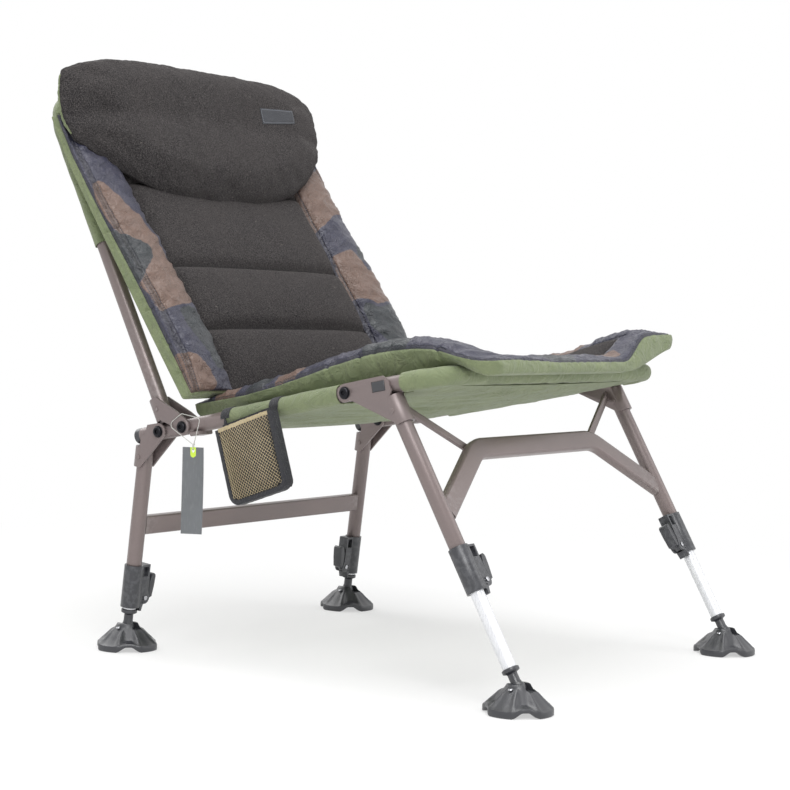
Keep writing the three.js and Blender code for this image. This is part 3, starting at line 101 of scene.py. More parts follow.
def tone(code):
    """A colour written as on a swatch, turned into the linear values that a shader takes."""
    parts = [int(code[i:i + 2], 16) / 255 for i in (1, 3, 5)]
    return tuple(p / 12.92 if p <= 0.04045 else ((p + 0.055) / 1.055) ** 2.4 for p in parts)


def tint(name, description, code):
    return FloatVectorProperty(name=name, description=description, default=tone(code), size=3, min=0, max=1,
                               subtype="COLOR")


class ChairSizes(bpy.types.PropertyGroup):
    tube_sides: IntProperty(name="Tube sides", description="Flats round each tube", default=40, min=12,
                            max=96)
    edge_round: FloatProperty(name="Edge rounding", description="Radius on pressed and moulded edges",
                              default=0.0005, min=0, max=0.002, unit="LENGTH")
    quilt_step: FloatProperty(name="Quilt step", description="Spacing of the padded covers' grid",
                              default=0.0065, min=0.003, max=0.02, unit="LENGTH")
    seam_depth: FloatProperty(name="Seam depth", description="How far a sewn line sinks into the padding",
                              default=0.0035, min=0, max=0.01, unit="LENGTH")
    pucker: FloatProperty(name="Pucker height", description="Height of the gathers beside a sewn line",
                          default=0.0022, min=0, max=0.01, unit="LENGTH")
    swell: FloatProperty(name="Swell", description="Most that the filling pushes a cover out",
                         default=0.006, min=0, max=0.02, unit="LENGTH")
    swell_steps: IntProperty(name="Swell steps", description="Frames of the filling simulation", default=16,
                             min=2, max=40)
    net_pitch: FloatProperty(name="Net pitch", description="Spacing of the net's holes", default=0.0054,
                             min=0.003, max=0.01, unit="LENGTH")
    thread_pitch: FloatProperty(name="Thread pitch", description="Spacing of the woven cloth's threads",
                                default=0.0008, min=0.0003, max=0.003, unit="LENGTH")


class ChairColours(bpy.types.PropertyGroup):
    paint: tint("Frame paint", "Satin paint on tubes and brackets", "#817472")
    plastic: tint("Dark plastic", "Leg locks, feet and caps", "#2f3035")
    bolt: tint("Bolt coating", "Pivot bolts", "#26262a")
    pin: tint("Bright pin", "Lever pins and foot screws", "#c9cbcf")
    inner_leg: tint("Inner leg", "Anodised inner legs", "#eeeff2")
    green: tint("Green cloth", "Woven cloth on the sides and under the seat", "#7c8762")
    camo_ground: tint("Camouflage ground", "Main colour of the printed cloth", "#2f3042")
    camo_brown: tint("Camouflage brown", "Brown of the printed cloth", "#6d574c")
    camo_dark: tint("Camouflage dark", "Dark green of the printed cloth", "#262c30")
    fleece: tint("Fleece", "Brushed fleece of the cushions", "#353334")
    binding: tint("Binding", "Binding tape and pocket panel", "#222328")
    net: tint("Net", "Net of the side pocket", "#dccba6")
    card: tint("Card", "Hang tag", "#6d7073")
    tab: tint("Tab", "Bright tab on the hang tag", "#cdea4e")
    string: tint("String", "String of the hang tag", "#dcdcd6")
    label: tint("Label", "Woven patch on the head rest", "#3a3c42")
    floor: tint("Floor", "Floor under the chair", "#ffffff")


def sizes():
    return bpy.context.scene.chair_sizes


def colour(name):
    return (*getattr(bpy.context.scene.chair_colours, name), 1.0)


# Small helpers

def linked(name, data):
    """A new object in the scene."""
    made = bpy.data.objects.new(name, data)
    bpy.context.scene.collection.objects.link(made)
    return made


def shaded(base, *shares):
    """A colour with its three parts multiplied by one share, or by one each."""
    return tuple(min(1, c * k) for c, k in zip(base, shares if len(shares) == 3 else shares * 3)) + (1,)


def add_field(mesh, name, values):
    mesh.attributes.new(name, "FLOAT", "POINT").data.foreach_set("value", values.astype(np.float32))


# Shaders

def put(tree, kind, inputs=None, **settings):
    """Adds a shader node. An input that is given a socket is linked, and any other value is set on it."""
    made = tree.nodes.new(f"ShaderNode{kind}")
    for name, value in settings.items():
        setattr(made, name, value)
    for key, value in (inputs or {}).items():
        if isinstance(value, bpy.types.NodeSocket):
            tree.links.new(value, made.inputs[key])
        else:
            made.inputs[key].default_value = value
    return made


def maths(tree, operation, a, b=0.0, clamp=False):
    return put(tree, "Math", {0: a, 1: b}, operation=operation, use_clamp=clamp).outputs[0]


def spread(tree, value, low, high, to_low=0.0, to_high=1.0, kind="SMOOTHSTEP"):
    return put(tree, "MapRange", {"Value": value, "From Min": low, "From Max": high, "To Min": to_low,
                                  "To Max": to_high}, interpolation_type=kind).outputs[0]


def mix(tree, share, a, b, how="MIX"):
    return put(tree, "Mix", {0: share, 6: a, 7: b}, data_type="RGBA", blend_type=how).outputs[2]


def speckle(tree, vector, scale, detail=3.0, roughness=0.55, distortion=0.0):
    return put(tree, "TexNoise", {"Vector": vector, "Scale": scale, "Detail": detail,
                                  "Roughness": roughness, "Distortion": distortion}).outputs["Fac"]


def stretched(tree, vector, x, y, z):
    return put(tree, "Mapping", {"Vector": vector, "Scale": (x, y, z)}).outputs[0]


def effect(name, inputs, outputs):
    """A node group with named sockets, made on first use, with its input sockets and its end."""
    if name in bpy.data.node_groups:
        return bpy.data.node_groups[name], None, None
    made = bpy.data.node_groups.new(name, "ShaderNodeTree")
    for label, kind, value in inputs:
        socket = made.interface.new_socket(name=label, in_out="INPUT", socket_type=f"NodeSocket{kind}")
        if value is not None:
            socket.default_value = value
    for label, kind in outputs:
        made.interface.new_socket(name=label, in_out="OUTPUT", socket_type=f"NodeSocket{kind}")
    return made, made.nodes.new("NodeGroupInput").outputs, made.nodes.new("NodeGroupOutput").inputs


def placed_effect(tree, group, **inputs):
    return put(tree, "Group", inputs, node_tree=group).outputs


def fine_grain():
    """Moulded or sprayed grain: a small height and a slow shade."""
    group, given, out = effect("Fine grain", [("Vector", "Vector", None), ("Grain", "Float", 900.0),
                                              ("Patches", "Float", 18.0)],
                               [("Height", "Float"), ("Shade", "Float")])
    if given:
        fine = speckle(group, given["Vector"], given["Grain"], 2.0)
        slow = speckle(group, given["Vector"], given["Patches"], 4.0)
        group.links.new(fine, out["Height"])
        group.links.new(spread(group, slow, 0.3, 0.7), out["Shade"])
    return group


def edge_highlight_and_wear():
    """Painted highlight and rubbed wear along outer edges: a mask of sharp edges, broken by noise."""
    group, given, out = effect("Edge highlight and wear", [("Vector", "Vector", None), ("Reach", "Float", 0.56)],
                               [("Mask", "Float")])
    if given:
        raised = put(group, "NewGeometry").outputs["Pointiness"]
        # Sharp outer edges: the mask for a painted edge highlight and for rubbed wear.
        rubbed = spread(group, raised, given["Reach"], maths(group, "ADD", given["Reach"], 0.06))
        broken = spread(group, speckle(group, given["Vector"], 160.0, 5.0), 0.42, 0.62)
        group.links.new(maths(group, "MULTIPLY", rubbed, broken), out["Mask"])
    return group


def settled_dust():
    """A thin uneven film of dust on what faces up."""
    group, given, out = effect("Settled dust", [("Vector", "Vector", None), ("Amount", "Float", 0.1)],
                               [("Mask", "Float")])
    if given:
        up = put(group, "SeparateXYZ", {0: put(group, "NewGeometry").outputs["Normal"]}).outputs[2]
        facing = spread(group, up, 0.2, 0.95)
        patchy = spread(group, speckle(group, given["Vector"], 60.0, 6.0, 0.65), 0.4, 0.75)
        group.links.new(maths(group, "MULTIPLY", maths(group, "MULTIPLY", facing, patchy), given["Amount"]),
                        out["Mask"])
    return group


def plain_weave():
    """Crossed threads, from flat cloth coordinates in metres."""
    group, given, out = effect("Plain weave", [("Cloth", "Vector", None), ("Pitch", "Float", 0.0008)],
                               [("Height", "Float"), ("Thread", "Float")])
    if given:
        parts = put(group, "SeparateXYZ", {0: given["Cloth"]}).outputs
        turns = [maths(group, "DIVIDE", parts[i], given["Pitch"]) for i in (0, 1)]
        waves = [maths(group, "SINE", maths(group, "MULTIPLY", t, math.pi)) for t in turns]
        crossed = maths(group, "MULTIPLY", waves[0], waves[1])
        group.links.new(spread(group, crossed, -1.0, 1.0), out["Height"])
        slub = speckle(group, stretched(group, given["Cloth"], 60.0, 900.0, 1.0), 1.0, 2.0)
        group.links.new(slub, out["Thread"])
    return group


def soft_pile():
    """Brushed fleece: tufts, pale fibre ends and rubbed patches."""
    group, given, out = effect("Soft pile", [("Vector", "Vector", None), ("Tufts", "Float", 420.0)],
                               [("Height", "Float"), ("Fibre", "Float"), ("Rub", "Float")])
    if given:
        tuft = speckle(group, given["Vector"], given["Tufts"], 4.0, 0.7, 0.4)
        cells = put(group, "TexVoronoi", {"Vector": given["Vector"], "Scale": given["Tufts"],
                                          "Randomness": 1.0})
        bumpy = maths(group, "SUBTRACT", tuft, maths(group, "MULTIPLY", cells.outputs["Distance"], 0.35))
        group.links.new(bumpy, out["Height"])
        fine = speckle(group, given["Vector"], maths(group, "MULTIPLY", given["Tufts"], 1.9), 3.0, 0.7)
        group.links.new(spread(group, fine, 0.45, 0.72), out["Fibre"])
        group.links.new(spread(group, speckle(group, given["Vector"], 16.0, 4.0), 0.35, 0.7), out["Rub"])
    return group


def sewn_line():
    """A row of stitches beside a seam, from the distance to the seam and the way along it."""
    group, given, out = effect("Sewn line", [("Distance", "Float", 0.0), ("Along", "Float", 0.0),
                                             ("Setback", "Float", 0.003), ("Stitch", "Float", 0.0035)],
                               [("Thread", "Float"), ("Groove", "Float")])
    if given:
        off = maths(group, "ABSOLUTE", maths(group, "SUBTRACT", given["Distance"], given["Setback"]))
        row = spread(group, off, 0.0007, 0.0003)
        step = maths(group, "FRACT", maths(group, "DIVIDE", given["Along"], given["Stitch"]))
        dash = spread(group, maths(group, "ABSOLUTE", maths(group, "SUBTRACT", step, 0.5)), 0.4, 0.3)
        group.links.new(maths(group, "MULTIPLY", row, dash), out["Thread"])
        group.links.new(spread(group, off, 0.0, 0.0016, 0.0, 1.0), out["Groove"])
    return group


def small_creases():
    """Short soft creases of a coated cloth."""
    group, given, out = effect("Small creases", [("Vector", "Vector", None), ("Scale", "Float", 55.0)],
                               [("Height", "Float")])
    if given:
        folded = speckle(group, given["Vector"], given["Scale"], 5.0, 0.6, 1.2)
        ridge = maths(group, "ABSOLUTE", maths(group, "SUBTRACT", folded, 0.5))
        group.links.new(spread(group, ridge, 0.0, 0.16, 0.0, 1.0), out["Height"])
    return group


def finish(name, made_by):
    """The material of that name, made on its first use."""
    if name in bpy.data.materials:
        return bpy.data.materials[name]
    made = bpy.data.materials.new(name)
    made.use_nodes = True
    tree = made.node_tree
    tree.nodes.clear()
    shader = put(tree, "BsdfPrincipled")
    put(tree, "OutputMaterial", {"Surface": shader.outputs[0]})
    made_by(tree, shader)
    return made


def material(name):
    """Makes a shader's recipe into a function that returns its material."""
    return lambda recipe: lambda: finish(name, recipe)


def object_place(tree):
    return put(tree, "TexCoord").outputs["Object"]


def cloth_place(tree):
    return put(tree, "UVMap", uv_map="cloth").outputs[0]


def field(tree, name):
    return put(tree, "Attribute", attribute_name=name, attribute_type="GEOMETRY").outputs["Fac"]


def wire(tree, shader, **inputs):
    for key, value in inputs.items():
        socket = shader.inputs[key.replace("_", " ")]
        if isinstance(value, bpy.types.NodeSocket):
            tree.links.new(value, socket)
        else:
            socket.default_value = value


def bump(tree, height, depth, before=None):
    inputs = {"Height": height, "Distance": depth, "Strength": 1.0}
    if before:
        inputs["Normal"] = before
    return put(tree, "Bump", inputs).outputs[0]


@material("Frame paint")
def paint_finish(tree, shader):
    where = object_place(tree)
    grain = placed_effect(tree, fine_grain(), Vector=where, Grain=1500.0, Patches=9.0)
    pale_mask = placed_effect(tree, edge_highlight_and_wear(), Vector=where, Reach=0.56)
    dust = placed_effect(tree, settled_dust(), Vector=where, Amount=0.06)
    base = colour("paint")
    cooler = shaded(base, 0.93, 0.95, 0.97)
    tone_ = mix(tree, grain["Shade"], base, cooler)
    # Painted highlight: sharp edges of the new paint are mixed towards a paler colour.
    tone_ = mix(tree, maths(tree, "MULTIPLY", pale_mask["Mask"], 0.35), tone_, (0.42, 0.4, 0.39, 1))
    tone_ = mix(tree, dust["Mask"], tone_, (0.5, 0.48, 0.45, 1))
    flake = speckle(tree, where, 2600.0, 0.0)
    tone_ = mix(tree, maths(tree, "MULTIPLY", spread(tree, flake, 0.6, 0.8), 0.16), tone_,
                (0.55, 0.52, 0.5, 1))
    rough = maths(tree, "ADD", spread(tree, grain["Shade"], 0.0, 1.0, 0.33, 0.4),
                  maths(tree, "MULTIPLY", dust["Mask"], 0.6))
    wire(tree, shader, Base_Color=tone_, Roughness=rough, Metallic=0.35,
         Normal=bump(tree, grain["Height"], 0.00006), Coat_Weight=0.12, Coat_Roughness=0.25)


@material("Dark plastic")
def plastic_finish(tree, shader):
    where = object_place(tree)
    grain = placed_effect(tree, fine_grain(), Vector=where, Grain=1100.0, Patches=26.0)
    pale_mask = placed_effect(tree, edge_highlight_and_wear(), Vector=where, Reach=0.57)
    dust = placed_effect(tree, settled_dust(), Vector=where, Amount=0.07)
    base = colour("plastic")
    paler = shaded(base, 1.18, 1.18, 1.16)
    tone_ = mix(tree, grain["Shade"], base, paler)
    # Painted edge highlight, together with rubbed wear: sharp edges are mixed towards a paler grey.
    tone_ = mix(tree, maths(tree, "MULTIPLY", pale_mask["Mask"], 0.25), tone_, (0.16, 0.165, 0.18, 1))
    tone_ = mix(tree, dust["Mask"], tone_, (0.36, 0.35, 0.33, 1))
    wire(tree, shader, Base_Color=tone_, Roughness=spread(tree, grain["Shade"], 0.0, 1.0, 0.3, 0.42),
         Normal=bump(tree, grain["Height"], 0.00012), Specular_IOR_Level=0.75)


@material("Black bolt")
def bolt_finish(tree, shader):
    where = object_place(tree)
    grain = placed_effect(tree, fine_grain(), Vector=where, Grain=2500.0, Patches=90.0)
    pale_mask = placed_effect(tree, edge_highlight_and_wear(), Vector=where, Reach=0.54)
    # Painted edge highlight, together with rubbed wear: sharp edges of the bolts are paler.
    tone_ = mix(tree, pale_mask["Mask"], colour("bolt"), (0.22, 0.22, 0.23, 1))
    wire(tree, shader, Base_Color=tone_, Roughness=spread(tree, grain["Shade"], 0.0, 1.0, 0.28, 0.42),
         Metallic=0.8, Normal=bump(tree, grain["Height"], 0.00004))


@material("Bright pin")
def pin_finish(tree, shader):
    where = object_place(tree)
    grain = placed_effect(tree, fine_grain(), Vector=where, Grain=3000.0, Patches=120.0)
    tone_ = mix(tree, grain["Shade"], colour("pin"), (0.42, 0.42, 0.44, 1))
    wire(tree, shader, Base_Color=tone_, Roughness=spread(tree, grain["Height"], 0.3, 0.7, 0.16, 0.34),
         Metallic=1.0)


@material("Inner leg")
def inner_leg_finish(tree, shader):
    where = object_place(tree)
    drawn = speckle(tree, stretched(tree, where, 900.0, 900.0, 12.0), 1.0, 3.0)
    grain = placed_effect(tree, fine_grain(), Vector=where, Grain=1800.0, Patches=22.0)
    tone_ = mix(tree, spread(tree, drawn, 0.35, 0.7), colour("inner_leg"), (0.72, 0.73, 0.76, 1))
    wire(tree, shader, Base_Color=tone_, Roughness=spread(tree, grain["Shade"], 0.0, 1.0, 0.3, 0.42),
         Metallic=0.3, Normal=bump(tree, drawn, 0.00003))


def green_parts(tree, place, where):
    """Colour, roughness and normal of the green woven cloth."""
    weave = placed_effect(tree, plain_weave(), Cloth=place, Pitch=sizes().thread_pitch)
    soft = speckle(tree, where, 24.0, 5.0, 0.6)
    base = colour("green")
    shade = shaded(base, 0.8, 0.84, 0.78)
    light = shaded(base, 1.12, 1.1, 1.1)
    tone_ = mix(tree, spread(tree, soft, 0.35, 0.68), shade, light)
    tone_ = mix(tree, maths(tree, "MULTIPLY", weave["Thread"], 0.2), tone_, (0.42, 0.46, 0.3, 1))
    # Painted shade in the weave's hollows: the low points between threads are darker.
    dips = mix(tree, spread(tree, weave["Height"], 0.2, 0.6), shaded(base, 0.82), tone_)
    rough = spread(tree, soft, 0.3, 0.7, 0.62, 0.78)
    creases = placed_effect(tree, small_creases(), Vector=where, Scale=34.0)
    normal = bump(tree, weave["Height"], 0.0001, bump(tree, creases["Height"], 0.0011))
    return dips, rough, normal


@material("Green cloth")
def green_finish(tree, shader):
    tone_, rough, normal = green_parts(tree, cloth_place(tree), object_place(tree))
    wire(tree, shader, Base_Color=tone_, Roughness=rough, Normal=normal, Sheen_Weight=0.2,
         Sheen_Roughness=0.5)


@material("Camouflage cloth")
def camo_finish(tree, shader):
    where, place = object_place(tree), cloth_place(tree)
    wander = spread(tree, speckle(tree, where, 34.0, 3.0), 0.0, 1.0, -0.34, 0.34, "LINEAR")
    brown = spread(tree, maths(tree, "ADD", field(tree, "brown_patch"), wander), -0.05, 0.05)
    dark = spread(tree, maths(tree, "SUBTRACT", field(tree, "dark_patch"), wander), -0.05, 0.05)
    weave = placed_effect(tree, plain_weave(), Cloth=place, Pitch=sizes().thread_pitch * 0.6)
    pale_mask = speckle(tree, where, 48.0, 5.0, 0.65)
    tone_ = mix(tree, brown, colour("camo_ground"), colour("camo_brown"))
    tone_ = mix(tree, dark, tone_, colour("camo_dark"))
    tone_ = mix(tree, spread(tree, pale_mask, 0.35, 0.72, 0.0, 0.14), tone_, (0.2, 0.18, 0.19, 1), "SCREEN")
    sewn = placed_effect(tree, sewn_line(), Distance=field(tree, "seam_distance"),
                         Along=field(tree, "seam_along"))
    tone_ = mix(tree, sewn["Thread"], tone_, (0.045, 0.045, 0.055, 1))
    # Painted shade in the seam creases: the cloth darkens towards black near each sewn line.
    near = spread(tree, field(tree, "seam_distance"), 0.0, 0.0035, 0.55, 0.0)
    tone_ = mix(tree, near, tone_, (0.012, 0.012, 0.014, 1))
    creases = placed_effect(tree, small_creases(), Vector=where, Scale=62.0)
    normal = bump(tree, weave["Height"], 0.00005,
                  bump(tree, creases["Height"], 0.0009, bump(tree, sewn["Groove"], 0.0006)))
    wire(tree, shader, Base_Color=tone_, Roughness=spread(tree, pale_mask, 0.3, 0.7, 0.3, 0.44),
         Normal=normal, Sheen_Weight=0.05, Sheen_Roughness=0.4)


@material("Fleece")
def fleece_finish(tree, shader):
    where = object_place(tree)
    pile = placed_effect(tree, soft_pile(), Vector=where, Tufts=420.0)
    base = colour("fleece")
    # Painted shade between the tufts: where the pile is low, the fleece is darker.
    deep = shaded(base, 0.4, 0.4, 0.42)
    tone_ = mix(tree, spread(tree, pile["Height"], 0.15, 0.5), deep, base)
    tone_ = mix(tree, maths(tree, "MULTIPLY", pile["Fibre"], 0.6), tone_, tone("#7f7a78") + (1,))
    tone_ = mix(tree, maths(tree, "MULTIPLY", pile["Rub"], 0.2), tone_, tone("#474342") + (1,))
    lint = spread(tree, speckle(tree, where, 130.0, 1.0), 0.79, 0.82)
    tone_ = mix(tree, maths(tree, "MULTIPLY", lint, 0.3), tone_, tone("#9a948c") + (1,))
    # Painted shade in the seam creases: the fleece darkens towards black near each sewn line.
    near = spread(tree, field(tree, "seam_distance"), 0.0, 0.004, 0.6, 0.0)
    tone_ = mix(tree, near, tone_, (0.01, 0.01, 0.01, 1))
    wire(tree, shader, Base_Color=tone_, Roughness=0.95, Specular_IOR_Level=0.15,
         Normal=bump(tree, pile["Height"], 0.0016), Sheen_Weight=0.22, Sheen_Roughness=0.45)
    shader.inputs["Sheen Tint"].default_value = tone("#a09a98") + (1,)


@material("Black binding")
def binding_finish(tree, shader):
    where, place = object_place(tree), cloth_place(tree)
    weave = placed_effect(tree, plain_weave(), Cloth=place, Pitch=0.0011)
    slow = speckle(tree, where, 70.0, 5.0)
    base = colour("binding")
    tone_ = mix(tree, spread(tree, slow, 0.3, 0.7), shaded(base, 0.7), base)
    tone_ = mix(tree, maths(tree, "MULTIPLY", weave["Thread"], 0.12), tone_, (0.12, 0.12, 0.14, 1))
    creases = placed_effect(tree, small_creases(), Vector=where, Scale=90.0)
    wire(tree, shader, Base_Color=tone_, Roughness=spread(tree, slow, 0.3, 0.7, 0.6, 0.78),
         Normal=bump(tree, weave["Height"], 0.0002, bump(tree, creases["Height"], 0.0005)),
         Sheen_Weight=0.15, Sheen_Roughness=0.4)


@material("Tan net")
def net_finish(tree, shader):
    where = object_place(tree)
    yarn = speckle(tree, where, 700.0, 3.0)
    slow = speckle(tree, where, 40.0, 3.0)
    base = colour("net")
    tone_ = mix(tree, spread(tree, yarn, 0.35, 0.7), shaded(base, 0.66), base)
    tone_ = mix(tree, spread(tree, slow, 0.3, 0.7, 0.0, 0.3), tone_, tone("#8f7d55") + (1,))
    wire(tree, shader, Base_Color=tone_, Roughness=spread(tree, yarn, 0.3, 0.7, 0.6, 0.8),
         Normal=bump(tree, yarn, 0.0002))


@material("Grey card")
def card_finish(tree, shader):
    where = object_place(tree)
    grain = placed_effect(tree, fine_grain(), Vector=where, Grain=1400.0, Patches=30.0)
    tab = spread(tree, field(tree, "bright_tab"), 0.45, 0.55)
    base = colour("card")
    tone_ = mix(tree, grain["Shade"], base, shaded(base, 0.88))
    fibre = spread(tree, speckle(tree, stretched(tree, where, 400.0, 400.0, 90.0), 1.0, 3.0), 0.5, 0.7)
    tone_ = mix(tree, maths(tree, "MULTIPLY", fibre, 0.15), tone_, (0.3, 0.3, 0.31, 1))
    tone_ = mix(tree, tab, tone_, colour("tab"))
    wire(tree, shader, Base_Color=tone_, Roughness=spread(tree, grain["Shade"], 0.0, 1.0, 0.4, 0.52),
         Normal=bump(tree, grain["Height"], 0.00008))


@material("String")
def string_finish(tree, shader):
    where = object_place(tree)
    twist = speckle(tree, where, 1400.0, 2.0)
    base = colour("string")
    tone_ = mix(tree, spread(tree, twist, 0.35, 0.7), shaded(base, 0.6), base)
    wire(tree, shader, Base_Color=tone_, Roughness=spread(tree, twist, 0.3, 0.7, 0.6, 0.8),
         Normal=bump(tree, twist, 0.0001))


@material("Label")
def label_finish(tree, shader):
    place = cloth_place(tree)
    weave = placed_effect(tree, plain_weave(), Cloth=place, Pitch=0.0007)
    border = placed_effect(tree, sewn_line(), Distance=field(tree, "seam_distance"),
                           Along=field(tree, "seam_along"), Setback=0.002, Stitch=0.0026)
    base = colour("label")
    # Painted shade in the weave's hollows: the low points between threads are darker.
    tone_ = mix(tree, weave["Height"], shaded(base, 0.7), base)
    tone_ = mix(tree, border["Thread"], tone_, (0.14, 0.15, 0.17, 1))
    wire(tree, shader, Base_Color=tone_, Roughness=spread(tree, weave["Thread"], 0.3, 0.7, 0.5, 0.66),
         Normal=bump(tree, weave["Height"], 0.00015, bump(tree, border["Groove"], 0.0003)))


# Shapes, as arrays of points and lists of faces, in millimetres

def rounded_route(corners):
    """Straight runs between two ends, with rounded corners: each a point, a radius and a number of steps."""
    points = [Vector(c[0]) for c in corners]
    route = [points[0]]
    for i in range(1, len(corners) - 1):
        at, radius, steps = points[i], corners[i][1], corners[i][2]
        back, on = (points[i - 1] - at).normalized(), (points[i + 1] - at).normalized()
        half = back.angle(on) / 2
        setback, middle = radius / math.tan(half), at + (back + on).normalized() * (radius / math.sin(half))
        start, end = at + back * setback - middle, at + on * setback - middle
        swing = start.angle(end)
        for k in range(steps + 1):
            t = k / steps
            point = (start * math.sin((1 - t) * swing) + end * math.sin(t * swing)) / math.sin(swing)
            route.append(middle + point)
    return route + [points[-1]]


def closely(route, step):
    """A route with points added so that they lie about a step apart."""
    route = [Vector(p) for p in route]
    dense = []
    for a, b in zip(route, route[1:]):
        count = max(1, int((b - a).length / step))
        dense += [a.lerp(b, k / count) for k in range(count)]
    return dense + [route[-1]]


def grid_faces(rows, columns, closed=False, kept=lambda row, column: True):
    """Faces between the rows of a grid of points. A closed grid also joins its last column to its first."""
    return [(j * columns + i, j * columns + (i + 1) % columns, (j + 1) * columns + (i + 1) % columns,
             (j + 1) * columns + i)
            for j in range(rows - 1) for i in range(columns if closed else columns - 1) if kept(j, i)]


def end_faces(rows, columns):
    """The two faces that close the ends of a tube of points."""
    return [tuple(range(columns))[::-1], tuple((rows - 1) * columns + k for k in range(columns))]


def ring(radius, sides):
    turn = np.arange(sides) * 2 * math.pi / sides
    return np.stack([radius * np.cos(turn), radius * np.sin(turn)], 1)


def rounded_box(width, height, radius, steps=5):
    points = []
    for cx, cy, start in ((1, 1, 0), (-1, 1, 90), (-1, -1, 180), (1, -1, 270)):
        for k in range(steps + 1):
            turn = math.radians(start + 90 * k / steps)
            points.append((cx * (width / 2 - radius) + radius * math.cos(turn),
                           cy * (height / 2 - radius) + radius * math.sin(turn)))
    return np.array(points)


def stations(route, up):
    """Each point of a route with the two directions across it, carried along without twisting."""
    route = [Vector(p) for p in route]
    found, across = [], Vector(up)
    for i, here in enumerate(route):
        before = (here - route[max(i - 1, 0)]).normalized()
        after = (route[min(i + 1, len(route) - 1)] - here).normalized()
        along = (before + after).normalized()
        across = (across - along * across.dot(along)).normalized()
        found.append((here, along.cross(across), across))
    return found


def sweep(route, outline, up=(0, 0, 1), bore=None):
    """An outline carried along a route: first across, then up. With a bore it is a pipe."""
    places, count = stations(route, up), len(outline)
    layers = [outline] if bore is None else [outline, bore]
    points = []
    for layer in layers:
        for here, side, rise in places:
            points += [here + side * float(a) + rise * float(b) for a, b in layer]
    runs = len(places)
    faces = grid_faces(runs, count, True)
    if bore is None:
        return np.array(points), faces + end_faces(runs, count)
    inner = runs * count
    faces += [tuple(k + inner for k in quad[::-1]) for quad in faces]
    for i in (0, runs - 1):
        for k in range(count):
            a, b = i * count + k, i * count + (k + 1) % count
            faces.append((a, b, b + inner, a + inner) if i else (b, a, a + inner, b + inner))
    return np.array(points), faces


def lathe(profile, sides=40):
    """A profile of radius and height turned about Z. Either may be an array that varies round the turn."""
    turn = np.arange(sides) * 2 * math.pi / sides
    points = np.concatenate([np.stack([r * np.cos(turn), r * np.sin(turn), z + np.zeros(sides)], 1)
                             for r, z in profile])
    return points, grid_faces(len(profile), sides, True)


def slab(outline, low, high, axis="x"):
    """An outline given a thickness along an axis. Its own axes are the other two in order."""
    order = {"x": (2, 0, 1), "y": (0, 2, 1), "z": (0, 1, 2)}[axis]
    flat = np.array(outline, float)
    both = [np.column_stack([flat, np.full(len(flat), float(h))])[:, order] for h in (low, high)]
    return np.concatenate(both), end_faces(2, len(flat)) + grid_faces(2, len(flat), True)


def moved(shape, by=(0, 0, 0), matrix=None):
    points, faces = shape
    change = Matrix.Translation(by) if matrix is None else Matrix.Translation(by) @ matrix
    turn = np.array(change)
    return points @ turn[:3, :3].T + turn[:3, 3], faces


def together(*shapes):
    points, faces, count = [], [], 0
    for corners, quads in shapes:
        points.append(corners)
        faces += [tuple(i + count for i in q) for q in quads]
        count += len(corners)
    return np.concatenate(points), faces


def make_piece(name, shape, material, frame_=None, sharp=35, weld=True):
    """A mesh object in metres from a shape in millimetres in one of the chair's frames."""
    points, faces = shape
    if frame_ is not None:
        points = moved((points, faces), matrix=frame_)[0]
    mesh = bpy.data.meshes.new(name)
    mesh.from_pydata((points * MM).tolist(), [], faces)
    if weld:
        work = bmesh.new()
        work.from_mesh(mesh)
        bmesh.ops.remove_doubles(work, verts=work.verts, dist=0.000002)
        bmesh.ops.dissolve_degenerate(work, edges=work.edges, dist=0.000001)
        bmesh.ops.recalc_face_normals(work, faces=work.faces)
        work.to_mesh(mesh)
        work.free()
    mesh.materials.append(material)
    piece = linked(name, mesh)
    smooth_shade(piece, sharp)
    return piece


def smooth_shade(piece, sharp=35):
    piece.data.polygons.foreach_set("use_smooth", [True] * len(piece.data.polygons))
    piece.data.set_sharp_from_angle(angle=math.radians(sharp))


def thicken(piece, thickness, offset=0):
    thick = piece.modifiers.new("Thickness", "SOLIDIFY")
    thick.thickness, thick.offset = thickness, offset
    settle(piece)


def settle(piece):
    """Applies a piece's modifiers."""
    shown = piece.evaluated_get(bpy.context.evaluated_depsgraph_get())
    mesh = bpy.data.meshes.new_from_object(shown, preserve_all_data_layers=True,
                                           depsgraph=bpy.context.evaluated_depsgraph_get())
    piece.modifiers.clear()
    piece.data = mesh
    return piece


def ease_edges(piece, radius, angle, sharp):
    bevel = piece.modifiers.new("Eased edges", "BEVEL")
    bevel.width, bevel.segments, bevel.limit_method = radius, 2, "ANGLE"
    bevel.angle_limit, bevel.harden_normals = math.radians(angle), False
    settle(piece)
    smooth_shade(piece, sharp)
    return piece


def eased_copy(node, name, material, radius=None, angle=30, sharp=40):
    """A rigid part with its flat faces cleaned up and its edges eased."""
    mesh = frame["nodes"][node].data.copy()
    mesh.name = name
    work = bmesh.new()
    work.from_mesh(mesh)
    bmesh.ops.remove_doubles(work, verts=work.verts, dist=0.000005)
    bmesh.ops.dissolve_limit(work, angle_limit=math.radians(1), verts=work.verts, edges=work.edges)
    bmesh.ops.recalc_face_normals(work, faces=work.faces)
    work.to_mesh(mesh)
    work.free()
    mesh.materials.clear()
    mesh.materials.append(material)
    for polygon in mesh.polygons:
        polygon.material_index = 0
    return ease_edges(linked(name, mesh), radius or sizes().edge_round, angle, sharp)


def stands_for(piece, slot, *nodes):
    """The piece rides with the nodes that it replaces, and those nodes are hidden."""
    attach(piece, BODY_OF[nodes[0]])
    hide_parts(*nodes)
    return piece


def rides_on(piece, body):
    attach(piece, body)
    return piece


# Frame tubes

